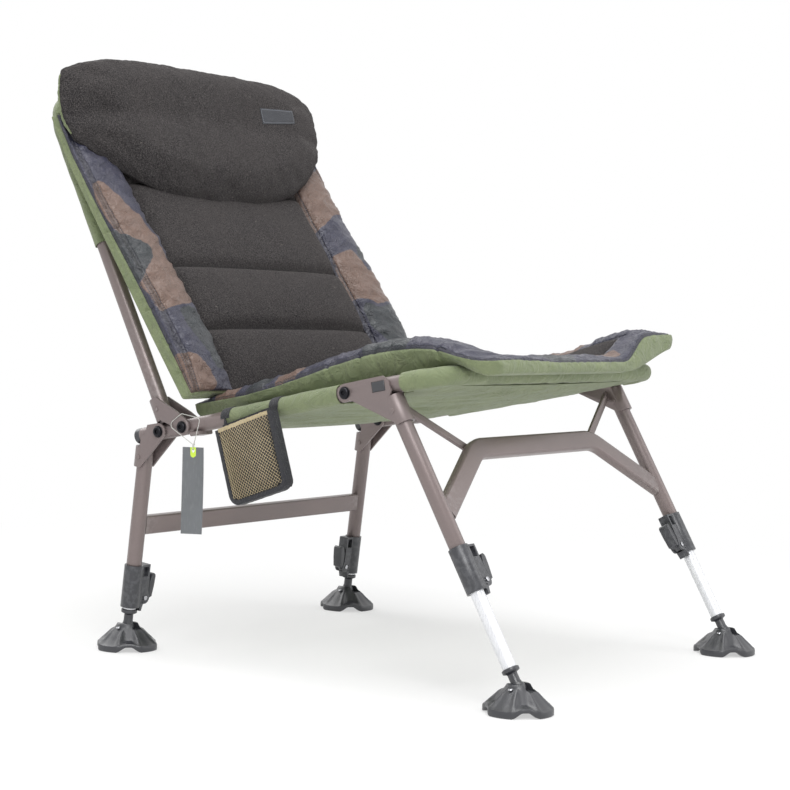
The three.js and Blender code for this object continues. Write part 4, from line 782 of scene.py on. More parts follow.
RAIL_BEND, SPLAY_BEND, BACK_BEND, ARCH_BEND = 42, 170, 62, 62
ARCH_FOOT, ARCH_SHOULDER, ARCH_TOP, ARCH_SHORT = 203, 158, 115.5, 9.5
TUBE_WALL = 1.5
RAIL_START, BACK_START = 10.3, 20.5
LUG = [(-15, -9.6), (-15, -13.4), (-13.5, -15), (13.5, -15), (15, -13.4), (15, -9.6)]
LUG_NEAR, LUG_FAR = 106.9, 122.9
RAIL_CAP = [(0, 0), (8.4, 0), (9.4, 0.25), (10.4, 0.8), (10.9, 1.6), (11, 2.4), (11, 9.6), (10.6, 10),
            (9.2, 10.2), (9.2, 24), (0, 24)]
CAP_DIMPLE = [(0, -0.05), (3.2, -0.05), (3.6, 0.05), (3.6, 0.4), (0, 0.4)]
REAR_BAR_DROP = 141


def rail_half_width(reach):
    return np.interp(reach, SPLAY, (REAR_HALF, FRONT_HALF))


def rail_route(start, end=None, sign=-1):
    """The seat tube's centre line round the front from one reach back to it, or one rail up to a reach."""
    def half(sign):
        corners = [((sign * float(rail_half_width(start)), -start, 0),)]
        for x, reach in ((REAR_HALF, SPLAY[0]), (FRONT_HALF, SPLAY[1])):
            if start < reach and (end is None or reach < end):
                corners.append(((sign * x, -reach, 0), SPLAY_BEND, 4))
        if end is None:
            corners.append(((sign * FRONT_HALF, -RAIL_LENGTH, 0), RAIL_BEND, 12))
        else:
            corners.append(((sign * float(rail_half_width(end)), -end, 0),))
        return corners
    if end is None:
        return rounded_route(half(-1) + half(1)[::-1])
    return rounded_route(half(sign))


def back_route(start):
    ends = [((sign * REAR_HALF, BACK_OFFSET, start),) for sign in (-1, 1)]
    corners = [((sign * REAR_HALF, BACK_OFFSET, BACK_HEIGHT), BACK_BEND, 14) for sign in (-1, 1)]
    return rounded_route([ends[0], *corners, ends[1]])


def arch_route():
    """The arch's centre line, ended inside the leg tubes."""
    at = lambda x, drop: (x, FRONT_OFFSET, -drop)
    route = rounded_route([(at(-FRONT_HALF, ARCH_FOOT),), (at(-ARCH_SHOULDER, ARCH_TOP), ARCH_BEND, 12),
                           (at(ARCH_SHOULDER, ARCH_TOP), ARCH_BEND, 12), (at(FRONT_HALF, ARCH_FOOT),)])
    for i, j in ((0, 1), (-1, -2)):
        route[i] = route[i] + (route[j] - route[i]).normalized() * ARCH_SHORT
    return route


class CHAIR_OT_tubes(bpy.types.Operator):
    """Make the seat and back tubes, the rail caps and the cross members"""
    bl_idname = "chair.tubes"
    bl_label = "Frame Tubes"

    def execute(self, context):
        paint, plastic = paint_finish(), plastic_finish()
        outer, bore = (ring(radius, sizes().tube_sides) for radius in (TUBE, TUBE - TUBE_WALL))
        seat = sweep(rail_route(RAIL_START), outer, (0, 0, 1), bore)
        lugs = [slab([(a + sign * REAR_HALF, b) for a, b in LUG], -LUG_FAR, -LUG_NEAR, "y")
                for sign, side in SIDES]
        piece = make_piece("seat_tube", together(seat, *lugs), paint, SEAT)
        stands_for(piece, "frame_paint", "seat_frame_tube")

        back = sweep(back_route(BACK_START), outer, (0, 1, 0), bore)
        stands_for(make_piece("back_tube", back, paint, BACK), "frame_paint", "back_frame_tube")

        for sign, side in SIDES:
            cap = together(lathe(RAIL_CAP), lathe(CAP_DIMPLE, 24))
            cap = moved(cap, (sign * REAR_HALF, 0, 0), Matrix.Rotation(math.pi / 2, 4, "X"))
            stands_for(make_piece(f"rail_cap_{side}", cap, plastic, SEAT), "dark_plastic",
                       f"rail_end_cap_{side}")

        flat, inner = rounded_box(27, 14, 3.2), rounded_box(23.8, 10.8, 1.8)
        route = [(x, REAR_OFFSET, -REAR_BAR_DROP)
                 for x in np.linspace(-REAR_HALF + 9.6, REAR_HALF - 9.6, 9)]
        bar = make_piece("rear_bar", sweep(route, flat[:, ::-1], (0, 0, 1), inner[:, ::-1]), paint,
                         REAR_LEGS)
        stands_for(bar, "frame_paint", "rear_cross_bar")

        tall, hollow = rounded_box(14, 29, 4.2), rounded_box(10.8, 25.8, 2.8)
        arch = sweep(arch_route(), tall[:, ::-1], (0, 1, 0), hollow[:, ::-1])
        arch = make_piece("front_arch_tube", arch, paint, FRONT_LEGS)
        stands_for(arch, "frame_paint", "front_arch")
        for sign, side in SIDES:
            strut = eased_copy(f"front_strut_{side}", f"strut_{side}", paint, 0.0007)
            stands_for(strut, "frame_paint", f"front_strut_{side}")
        return {"FINISHED"}


BOLT_REACH, BOLT_HEAD, SOCKET_DEPTH = 15.1, 4.4, 2.3
BOLT_TOP = BOLT_REACH + BOLT_HEAD
BOLT_HALF = [(4, 0), (4, BOLT_REACH), (8.3, BOLT_REACH), (8.3, BOLT_REACH + 0.9), (7.2, BOLT_REACH + 1),
             (7.1, BOLT_REACH + 2.4), (6.6, BOLT_REACH + 3.4), (5.6, BOLT_REACH + 4.1), (4.4, BOLT_TOP),
             (3.9, BOLT_TOP), (3.5, BOLT_TOP - 0.3)]


def hex_socket(top):
    """The six-sided recess in a bolt's head, with the rim that joins it to the round edge."""
    turn = np.arange(36) * 2 * math.pi / 36
    six = 3.1 / np.cos((turn % (math.pi / 3)) - math.pi / 6)
    low = top - SOCKET_DEPTH
    return lathe([(3.5, top), (six, top - 0.15), (six, low), (six * 0.02, low - 0.5)], 36)


class CHAIR_OT_brackets(bpy.types.Operator):
    """Make the pressed brackets, their stop blocks and the pivot bolts"""
    bl_idname = "chair.brackets"
    bl_label = "Brackets and Bolts"

    def execute(self, context):
        paint, plastic, black = paint_finish(), plastic_finish(), bolt_finish()
        for sign, side in SIDES:
            for end in ("back", "rear", "front"):
                piece = eased_copy(f"{end}_bracket_{side}", f"{end}_plate_{side}", paint)
                stands_for(piece, "frame_paint", f"{end}_bracket_{side}")
            block = eased_copy(f"stop_block_{side}", f"stop_{side}", plastic, 0.0012)
            stands_for(block, "dark_plastic", f"stop_block_{side}")
            for end, group, half in (("back", BACK, REAR_HALF), ("rear", REAR_LEGS, REAR_HALF),
                                     ("front", FRONT_LEGS, FRONT_HALF)):
                bolt = together(lathe(BOLT_HALF, 36), hex_socket(BOLT_TOP - 0.3))
                both = together(bolt, moved(bolt, matrix=Matrix.Rotation(math.pi, 4, "X")))
                both = moved(both, (sign * half, 0, 0), Matrix.Rotation(math.pi / 2, 4, "Y"))
                piece = make_piece(f"bolt_{end}_{side}", both, black, group, 30)
                stands_for(piece, "bolt_black", f"{end}_pivot_bolt_{side}")
        return {"FINISHED"}


LEG_SETS = (("rear", REAR_LEGS, REAR_HALF, REAR_OFFSET, 243.3, REAR_TILT),
            ("front", FRONT_LEGS, FRONT_HALF, FRONT_OFFSET, 291.6, -FRONT_TILT))
INNER_START, INNER_LENGTH = 27.3, 200


def foot_ball(end, side):
    return PIVOT[f"foot_tilt_{end}_{side}"]


class CHAIR_OT_legs(bpy.types.Operator):
    """Make the leg tubes, the inner legs and the leg locks"""
    bl_idname = "chair.legs"
    bl_label = "Legs and Locks"

    def execute(self, context):
        paint, plastic, bright, pale = paint_finish(), plastic_finish(), pin_finish(), inner_leg_finish()
        sides = sizes().tube_sides
        for end, group, half, offset, low, tilt in LEG_SETS:
            for sign, side in SIDES:
                made_of = frame["nodes"][f"{end}_leg_tube_{side}"].data.vertices
                local = np.array([v.co for v in made_of]) / MM
                height = moved((local, []), matrix=group.inverted())[0][:, 2].max()
                tube = lathe([(9.5, -low), (10.8, -low), (11, -low + 0.3), (11, height - 0.4),
                              (10.7, height), (9.5, height), (9.5, -low)], sides)
                tube = make_piece(f"leg_{end}_{side}", moved(tube, (sign * half, offset, 0)), paint, group)
                stands_for(tube, "frame_paint", f"{end}_leg_tube_{side}")
                for node, name, slot, material_, radius, angle, sharp in (
                        ("lock_sleeve", "lock", "dark_plastic", plastic, 0.0004, 40, 45),
                        ("lock_lever", "lever", "dark_plastic", plastic, 0.0008, 35, 45),
                        ("lever_pin", "pin", "bright_pin", bright, 0.0003, 50, 50)):
                    node = f"{node}_{end}_{side}"
                    stands_for(eased_copy(node, f"{name}_{end}_{side}", material_, radius, angle, sharp),
                               slot, node)
                axis = turned_frame(foot_ball(end, side), tilt)
                start, stop = INNER_START, INNER_START + INNER_LENGTH
                inner = lathe([(7.8, start), (8.8, start), (9, start + 0.2), (9, stop - 0.2), (8.8, stop),
                               (7.8, stop), (7.8, start)], sides)
                stands_for(make_piece(f"inner_{end}_{side}", inner, pale, axis), "inner_leg",
                           f"inner_leg_{end}_{side}")
        return {"FINISHED"}


def smooth_step(value, low=0.0, high=1.0):
    t = np.clip((np.asarray(value, float) - low) / (high - low), 0, 1)
    return t * t * (3 - 2 * t)


def foot_dish(steps=120):
    """A mud foot about its ball: four lobes with a ridge on each side of the arches between them."""
    angles = np.arange(steps) * 2 * math.pi / steps
    lobe = np.abs((angles * 4 / (2 * math.pi)) % 1 - 0.5) * 2
    valley = 1 - smooth_step(lobe, 0.1, 0.55)
    ridge = np.exp(-((lobe - 0.5) / 0.13) ** 2)
    rim = 45 - 4.5 * valley
    low = -30 + 7 * valley
    high = -30 + 9 + 3.5 * valley + 1.2 * ridge
    mid = (-3 - high) / 2 + high - 4.5 * valley + 2.2 * ridge
    hub = 18.4
    return lathe([(0, 7), (13.4, 7), (14.8, 6.2), (16.2, 3.6), (hub, 0.2 + 0.6 * ridge),
                  (0.75 * hub + 0.25 * rim, 0.38 * mid + 0.5 * ridge), ((hub + rim) / 2, mid),
                  (0.25 * hub + 0.75 * rim - 0.6, 0.42 * mid + 0.58 * high + 0.6 * ridge),
                  (rim - 2.4, high + 0.2), (rim - 0.8, high - 0.7), (rim, high - 2.6),
                  (rim + 0.1, (high + low) / 2 - 0.6), (rim, low + 0.8), (rim - 0.8, low),
                  (rim - 7.4, low), (rim - 8.4, low + 0.8), (rim - 12, high - 4.4), (24, -12.4),
                  (15, -13.4), (0, -13.4)], steps)


def arc(radius, degrees):
    """A profile on a ball, from its lowest point up."""
    return [(radius * math.sin(math.radians(a)), -radius * math.cos(math.radians(a))) for a in degrees]


def carve(piece, cutter):
    """Takes a cutter out of a piece and removes it."""
    cut = piece.modifiers.new("Cut", "BOOLEAN")
    cut.operation, cut.solver, cut.object = "DIFFERENCE", "EXACT", cutter
    settle(piece)
    bpy.data.objects.remove(cutter)


class CHAIR_OT_feet(bpy.types.Operator):
    """Make the mud feet and the ball fittings above them"""
    bl_idname = "chair.feet"
    bl_label = "Mud Feet"

    def execute(self, context):
        plastic, bright = plastic_finish(), pin_finish()
        dish = make_piece("foot_pattern", foot_dish(), plastic)
        carve(dish, make_piece("bowl", lathe(arc(10.45, range(0, 181, 9)), 48), plastic))
        notch = [(-50, -2), (-11, -2), (-9, -1.6), (0, 0), (9, -1.6), (11, -2), (50, -2), (50, 14),
                 (-50, 14)]
        carve(dish, make_piece("slot", slab(notch, -8.4, 8.4, "x"), plastic))
        smooth_shade(dish, 32)
        collar = [(0, -10)] + arc(10, range(12, 133, 8))
        collar += [(7.2, 8), (6.6, 10), (6.5, 19.4), (7.4, 20.6), (9.6, 21.4), (11.1, 22.2), (11.4, 23),
                   (11.4, 25.8), (11.1, 26.6), (10.4, 27), (7.3, 27), (7.3, 41), (0, 41)]
        heads = []
        for way in (-1, 1):
            head = lathe([(0, 0.2), (2.6, 0.2), (2.9, 0.6), (2.9, 1.6), (2.2, 2.2), (1.3, 2.3), (1.2, 1.5),
                          (0, 1.4)], 24)
            heads.append(moved(head, (way * 19, 0, 0.4), Matrix.Rotation(way * 0.45, 4, "Y")))
        for end, *rest, tilt in LEG_SETS:
            for sign, side in SIDES:
                ball = foot_ball(end, side)
                piece = linked(f"foot_{end}_{side}", dish.data)
                piece.location = ball * MM
                stands_for(piece, "dark_plastic", f"mud_foot_{end}_{side}")
                screws = make_piece(f"foot_screws_{end}_{side}", together(*heads), bright)
                screws.location = ball * MM
                rides_on(screws, BODY_OF[f"mud_foot_{end}_{side}"])
                fitting = make_piece(f"ball_{end}_{side}", lathe(collar), plastic, turned_frame(ball, tilt))
                stands_for(fitting, "dark_plastic", f"ball_fitting_{end}_{side}")
        bpy.data.objects.remove(dish)
        return {"FINISHED"}


# Padded covers

def smooth_noise(u, v, seed):
    """Soft noise in two directions, the same on every run."""
    return np.array([noise.noise(Vector((a, b, seed)))
                     for a, b in zip(np.ravel(u), np.ravel(v))]).reshape(np.shape(u))


def dome(t):
    return 1 - (2 * np.clip(t, 0, 1) - 1) ** 4


def bands(edges, step):
    """Values that pass through every edge, about a step apart."""
    found = [edges[0]]
    for a, b in zip(edges, edges[1:]):
        count = max(2, int(round(abs(b - a) / step)))
        found += [a + (b - a) * k / count for k in range(1, count + 1)]
    return np.array(found)


WALL_STEP, LAST_RUN, FILL_PRESSURE = 7.0, 6, 3.0


class Quilt:
    """A padded cover of a face, a back and a side wall, with fields that say where each point is sewn."""

    def __init__(self, name, columns, rows, face, back, wall_steps, wall_bow, frame_, fields, zones,
                 materials):
        across, up = np.meshgrid(columns, rows)
        top, low = face(across, up), back(across, up)
        ny, nx = across.shape
        number = np.arange(nx * ny).reshape(ny, nx)
        border = [(0, i) for i in range(nx - 1)] + [(j, nx - 1) for j in range(ny - 1)]
        border += [(ny - 1, i) for i in range(nx - 1, 0, -1)] + [(j, 0) for j in range(ny - 1, 0, -1)]
        bj, bi = np.array(border).T
        points = [top.reshape(-1, 3)]
        u, v = [across.ravel()], [up.ravel()]
        depth = [np.zeros(nx * ny)]
        faces, zone, flats = [], [], []

        def cover(first, depth, order):
            for j in range(ny - 1):
                for i in range(nx - 1):
                    corners = [(j + a, i + b) for a, b in order]
                    faces.append(tuple(first + number[at] for at in corners))
                    zone.append(zones((columns[i] + columns[i + 1]) / 2, (rows[j] + rows[j + 1]) / 2,
                                      depth))
                    flats.append([(across[at], up[at]) for at in corners])

        rim_top, rim_low = top[bj, bi], low[bj, bi]
        inward = rim_top.mean(0) - rim_top
        inward /= np.linalg.norm(inward, axis=1)[:, None]
        run = np.concatenate([[0], np.cumsum(np.linalg.norm(np.diff(rim_top, axis=0), axis=1))])
        count, rings = len(border), [number[bj, bi]]
        for k in range(1, wall_steps):
            t = k / wall_steps
            rings.append(np.arange(count) + sum(len(p) for p in points))
            points.append(rim_top * (1 - t) + rim_low * t + inward * (wall_bow * math.sin(math.pi * t)))
            u.append(across[bj, bi])
            v.append(up[bj, bi])
            depth.append(np.full(count, t))
        first = sum(len(p) for p in points)
        points.append(low.reshape(-1, 3))
        u.append(across.ravel())
        v.append(up.ravel())
        depth.append(np.full(nx * ny, 1.0))
        rings.append(first + number[bj, bi])
        cover(0, 0, ((0, 0), (0, 1), (1, 1), (1, 0)))
        for level in range(wall_steps):
            upper, lower = -level * WALL_STEP, -(level + 1) * WALL_STEP
            for k in range(count):
                m = (k + 1) % count
                faces.append((rings[level][m], rings[level][k], rings[level + 1][k], rings[level + 1][m]))
                zone.append(zones(across[border[k]], up[border[k]], (level + 0.5) / wall_steps))
                start, stop = run[k], run[m] if m else run[k] + LAST_RUN
                flats.append([(stop, upper), (start, upper), (start, lower), (stop, lower)])
        cover(first, 1, ((0, 1), (0, 0), (1, 0), (1, 1)))
        self.points = np.concatenate(points)
        self.u, self.v, self.depth = np.concatenate(u), np.concatenate(v), np.concatenate(depth)
        mesh = bpy.data.meshes.new(name)
        mesh.from_pydata((moved((self.points, []), matrix=frame_)[0] * MM).tolist(), [], faces)
        for material in materials:
            mesh.materials.append(material)
        mesh.polygons.foreach_set("material_index", zone)
        layer = mesh.uv_layers.new(name="cloth")
        layer.data.foreach_set("uv", (np.array([c for f in flats for c in f]) * MM).ravel())
        for label, values in fields(self).items():
            add_field(mesh, label, values)
        work = bmesh.new()
        work.from_mesh(mesh)
        bmesh.ops.recalc_face_normals(work, faces=work.faces)
        work.to_mesh(mesh)
        work.free()
        self.piece = linked(name, mesh)
        smooth_shade(self.piece, 180)

    def value(self, label):
        found = np.zeros(len(self.piece.data.vertices), np.float32)
        self.piece.data.attributes[label].data.foreach_get("value", found)
        return found.astype(float)

    def swell(self, held, loose, cap):
        """Fills the cover by simulation. Held points stay. Loose cloth is cut larger so that it creases."""
        piece = self.piece
        held_group = piece.vertex_groups.new(name="held")
        loose_group = piece.vertex_groups.new(name="loose")
        for i, (h, s) in enumerate(zip(held, loose)):
            if h > 0:
                held_group.add([i], float(h), "REPLACE")
            if s > 0:
                loose_group.add([i], float(s), "REPLACE")
        cloth = piece.modifiers.new("Filling", "CLOTH")
        set_ = cloth.settings
        set_.quality, set_.mass = 4, 0.25
        set_.tension_stiffness = set_.compression_stiffness = 18
        set_.shear_stiffness, set_.bending_stiffness = 6, 0.4
        set_.vertex_group_mass, set_.pin_stiffness = "held", 1.0
        set_.vertex_group_shrink, set_.shrink_min, set_.shrink_max = "loose", 0.0, -0.07
        set_.use_pressure, set_.uniform_pressure_force = True, FILL_PRESSURE
        set_.effector_weights.gravity = 0.0
        cloth.collision_settings.use_collision = False
        scene = bpy.context.scene
        last = sizes().swell_steps
        scene.frame_start, scene.frame_end = 1, last
        cloth.point_cache.frame_start, cloth.point_cache.frame_end = 1, last
        for step in range(1, last + 1):
            scene.frame_set(step)
        shown = piece.evaluated_get(bpy.context.evaluated_depsgraph_get())
        after = np.zeros(len(shown.data.vertices) * 3)
        shown.data.vertices.foreach_get("co", after)
        before = np.zeros(len(piece.data.vertices) * 3)
        piece.data.vertices.foreach_get("co", before)
        push = (after - before).reshape(-1, 3)
        length = np.linalg.norm(push, axis=1)
        push *= np.minimum(1, cap / np.maximum(length, 1e-9))[:, None]
        piece.modifiers.clear()
        piece.vertex_groups.clear()
        piece.data.vertices.foreach_set("co", (before.reshape(-1, 3) + push).ravel())
        piece.data.update()
        scene.frame_set(1)

    def refine(self):
        divide = self.piece.modifiers.new("Smooth", "SUBSURF")
        divide.levels = divide.render_levels = 1
        settle(self.piece)
        smooth_shade(self.piece, 180)

    def press(self, amount):
        """Moves each point along its normal by an amount in metres."""
        mesh = self.piece.data
        count = len(mesh.vertices)
        normals = np.zeros(count * 3, np.float32)
        mesh.vertex_normals.foreach_get("vector", normals)
        place = np.zeros(count * 3)
        mesh.vertices.foreach_get("co", place)
        mesh.vertices.foreach_set("co", place + (normals.reshape(-1, 3) * amount[:, None]).ravel())
        mesh.update()


def blob(x, y, outlines, soft=14.0):
    """How far a point lies inside the nearest outline: above 0 inside it, below 0 outside."""
    best = np.full(np.shape(x), -1.0)
    for outline in outlines:
        inside, near = np.zeros(np.shape(x), bool), np.full(np.shape(x), 1e9)
        for (ax, ay), (bx, by) in zip(outline, outline[1:] + outline[:1]):
            run = (bx - ax) ** 2 + (by - ay) ** 2
            t = np.clip(((x - ax) * (bx - ax) + (y - ay) * (by - ay)) / run, 0, 1)
            near = np.minimum(near, np.hypot(x - ax - t * (bx - ax), y - ay - t * (by - ay)))
            crosses = (ay > y) != (by > y)
            inside ^= crosses & (x < ax + (y - ay) * (bx - ax) / (by - ay + 1e-9))
        best = np.maximum(best, np.where(inside, near, -near) / soft)
    return np.clip(best, -1, 1)


def gathers(along, seed, length=9.0):
    """Short folds across a seam, uneven along it."""
    fine = smooth_noise(along / length, along * 0, seed)
    broad = smooth_noise(along / (length * 3.1), along * 0 + 4, seed + 7)
    return fine * 0.7 + broad * 0.8


# Seat pad

FAR = 400
PAD_REAR, PAD_FRONT, PAD_HALF, PAD_REAR_HALF = 92, 596, 268, 249
SEAT_BOLSTER, BAND = 74, 46
SEAT_CHANNELS = (246, 392)
SLING_REAR, REAR_SLEEVE_END, FRONT_SLEEVE_START, SLING_FRONT = 176, 382, 482, 519

# The pad's height over the rails at each reach, read from the photo: at each side and in the middle
SEAT_REACH = 92 + 504 * np.array([0, .115, .214, .313, .413, .512, .575, .651, .71, .774, .829, .869, .909,
                                  .948, 1])
SEAT_RIGHT = 50 * np.array([.66, .62, .58, .64, .76, .88, .94, .98, .96, .9, .78, .62, .44, .3, .2])
SEAT_LEFT = 50 * np.array([.66, .62, .58, .64, .72, .74, .7, .66, .7, .82, .92, .96, 1, 1, .92])
SEAT_MIDDLE = 50 * np.array([.66, .68, .64, .6, .56, .54, .54, .52, .5, .44, .36, .35, .34, .26, .12])


def seat_edge(reach):
    corner = smooth_step(PAD_FRONT - reach, 0, SEAT_BOLSTER)
    width = np.interp(reach, (SPLAY[0], SLING_REAR + 37.5), (PAD_REAR_HALF, PAD_HALF))
    return width - 16 * (1 - corner) ** 2


def seat_side(x):
    return smooth_step(x / PAD_HALF, 0.35, 1.0)


def sling_height(x, reach):
    depth = np.interp(reach, (SLING_REAR, 230, 330, FRONT_SLEEVE_START, RAIL_LENGTH), (12, 16, 20, 20, 9))
    share = x / rail_half_width(reach)
    return -9 - (depth - 9) * (1 - share * share)


def seat_base(x, reach):
    near = np.minimum(reach, RAIL_LENGTH)
    share = np.minimum(1, np.abs(x) / (rail_half_width(near) - SLEEVE - 2.6))
    inside = smooth_step((1 - share) * 3) * smooth_step(RAIL_LENGTH - SLEEVE - reach, 0, SEAT_BOLSTER)
    flat, sagged = 13.8, sling_height(x, near) + 1.9
    droop = 22 * smooth_step(reach - RAIL_LENGTH - 1.3, 0, 45)
    curl = 12 * seat_side(x) * smooth_step(reach, 482, PAD_FRONT)
    return flat + (sagged - flat) * inside - droop * (1 - seat_side(x)) + curl


def seat_top(x, reach):
    edge = seat_edge(reach)
    seam = edge - SEAT_BOLSTER
    ends = smooth_step(reach - PAD_REAR, 0, SEAT_BOLSTER) * smooth_step(PAD_FRONT - reach, 0, SEAT_BOLSTER)
    middle = np.interp(reach, SEAT_REACH, SEAT_MIDDLE)
    side = np.where(x < 0, np.interp(reach, SEAT_REACH, SEAT_RIGHT),
                    np.interp(reach, SEAT_REACH, SEAT_LEFT))
    level = middle + (side - middle) * smooth_step(np.abs(x) / seam, 0.5, 1.0)
    crown = np.where(edge - np.abs(x) < SEAT_BOLSTER, 12 * dome((edge - np.abs(x)) / SEAT_BOLSTER),
                     8 * dome((seam - np.abs(x)) / (2 * seam)))
    return level + crown * (0.1 + 0.9 * ends)


def banded(u, edge, bolster):
    """A grid value from -3 to 3 as a distance from the middle. The bolsters are the outer bands."""
    side, size = np.sign(u), np.abs(u)
    inner = edge - bolster
    return side * np.where(size <= 2, size / 2 * inner, inner + (size - 2) * bolster)


SEAT_BROWN = [
    [(-268, 128), (-196, 128), (-200, 150), (-236, 176), (-268, 168)],
    [(-268, 250), (-236, 246), (-210, 262), (-214, 290), (-246, 300), (-268, 286)],
    [(196, 196), (236, 176), (268, 214), (262, 276), (222, 300), (196, 262)],
    [(196, 420), (220, 404), (240, 428), (232, 462), (206, 470), (190, 450)],
    [(60, 560), (104, 550), (128, 562), (112, 580), (70, 578)]]
SEAT_DARK = [
    [(-268, 196), (-226, 190), (-206, 214), (-214, 236), (-250, 240), (-268, 226)],
    [(200, 316), (246, 306), (268, 350), (250, 386), (214, 378)],
    [(-268, 402), (-222, 396), (-196, 430), (-222, 476), (-268, 470)],
    [(-90, 556), (-30, 550), (-10, 572), (-50, 596), (-110, 590)]]
SEAT_TUCKS = ((342, 1.4, 0.3), (396, 1.1, -0.3), (420, 0.8, 0.2), (518, 1.3, 0.1), (262, 0.7, 0.2))
BACK_TUCKS = ((300, 1.2, 0.2), (232, 0.7, -0.2), (168, 1.3, 0.3), (110, 0.9, -0.2), (66, 1.0, 0.3))
BACK_BROWN = [
    [(-297, 378), (-283, 382), (-272, 364), (-256, 336), (-238, 316), (-232, 287), (-226, 258),
     (-210, 238), (-206, 200), (-212, 176), (-250, 166), (-290, 160), (-294, 190), (-297, 211),
     (-281, 228), (-260, 248), (-256, 263), (-272, 276), (-292, 293), (-296, 306), (-301, 340)],
    [(-302, 88), (-290, 92), (-269, 85), (-252, 66), (-246, 42), (-262, 28), (-292, 20), (-305, 24)],
    [(207, 412), (307, 461), (310, 442), (300, 407), (327, 388), (320, 355), (278, 358), (250, 352),
     (206, 326), (190, 357), (197, 378)],
    [(212, 279), (252, 284), (262, 270), (262, 244), (285, 244), (300, 187), (236, 178), (214, 195),
     (192, 190), (200, 226), (207, 242), (208, 268)]]
BACK_DARK = [
    [(-300, 305), (-292, 293), (-272, 276), (-256, 263), (-260, 248), (-281, 228), (-297, 212),
     (-303, 222), (-303, 282)],
    [(-262, 158), (-238, 166), (-214, 150), (-206, 100), (-216, 62), (-236, 66), (-246, 100),
     (-262, 124)],
    [(214, 184), (236, 172), (300, 180), (303, 120), (262, 96), (222, 110), (208, 146)],
    [(262, 268), (285, 250), (303, 262), (303, 300), (278, 306)]]


class CHAIR_OT_seat_pad(bpy.types.Operator):
    """Make the seat pad: camouflage bolsters and front band, fleece middle and green sides"""
    bl_idname = "chair.seat_pad"
    bl_label = "Seat Pad"

    def execute(self, context):
        step = sizes().quilt_step / MM
        unit = step / SEAT_BOLSTER
        columns = np.concatenate([-bands((3, 2), unit), bands((-2, 0, 2), 2 * step / 190)[1:],
                                  bands((2, 3), unit)[1:]])
        rows = bands((PAD_REAR, SEAT_CHANNELS[0], SEAT_CHANNELS[1], PAD_FRONT - BAND, PAD_FRONT), step)

        def place(height, inset=0):
            def at(u, v):
                x = banded(u, seat_edge(v), SEAT_BOLSTER) * (1 - inset / PAD_HALF)
                return np.stack([x, -v, height(x, v)], -1)
            return at

        def zones(u, v, depth):
            if depth > 0:
                return 1
            return 0 if abs(u) > 2 or v > PAD_FRONT - BAND else 2

        def fields(quilt):
            x, v = quilt.points[:, 0], quilt.v
            from_side = seat_edge(v) - np.abs(x)
            centre = from_side > SEAT_BOLSTER - 1
            lines = [(np.abs(from_side - SEAT_BOLSTER) + FAR * (v > PAD_FRONT - BAND + 1), v),
                     (np.abs(v - (PAD_FRONT - BAND)) + FAR * (~centre), x),
                     (from_side + FAR * (v > PAD_FRONT), v), (np.abs(PAD_FRONT - v), x)]
            lines += [(np.abs(v - c) + FAR * (~centre), x) for c in SEAT_CHANNELS]
            return nearest_seam(quilt, lines, 37, from_side, SEAT_BROWN, SEAT_DARK)

        quilt = Quilt("seat_cushion", columns, rows, place(seat_top), place(seat_base, 13), 6, -3, SEAT,
                      fields, zones, [camo_finish(), green_finish(), fleece_finish()])
        sew_and_fill(quilt, SEAT_TUCKS, 11)
        stands_for(quilt.piece, "camo_cloth", "seat_pad")
        return {"FINISHED"}


def tucked(v, from_side, depth, tucks):
    """Short sharp tucks at the outer seam: a line sinks in and the cloth beside it stands out."""
    out = np.zeros(np.shape(v))
    for at, size, slant in tucks:
        off = v - at - slant * from_side - slant * 14 * depth
        out += size * 1.9 * np.exp(-np.abs(off) / 9) * (1 - 2.4 * np.exp(-(off / 2.6) ** 2))
    reach = np.exp(-from_side / 20) * (depth < 0.01) + (1 - depth) ** 0.7 * (depth >= 0.01) * (depth < 0.99)
    return MM * out * reach


def zone_points(mesh, zone):
    """1 at each point of the faces of one material, and 0 elsewhere."""
    found = np.zeros(len(mesh.vertices))
    for polygon in mesh.polygons:
        if polygon.material_index == zone:
            found[list(polygon.vertices)] = 1
    return found


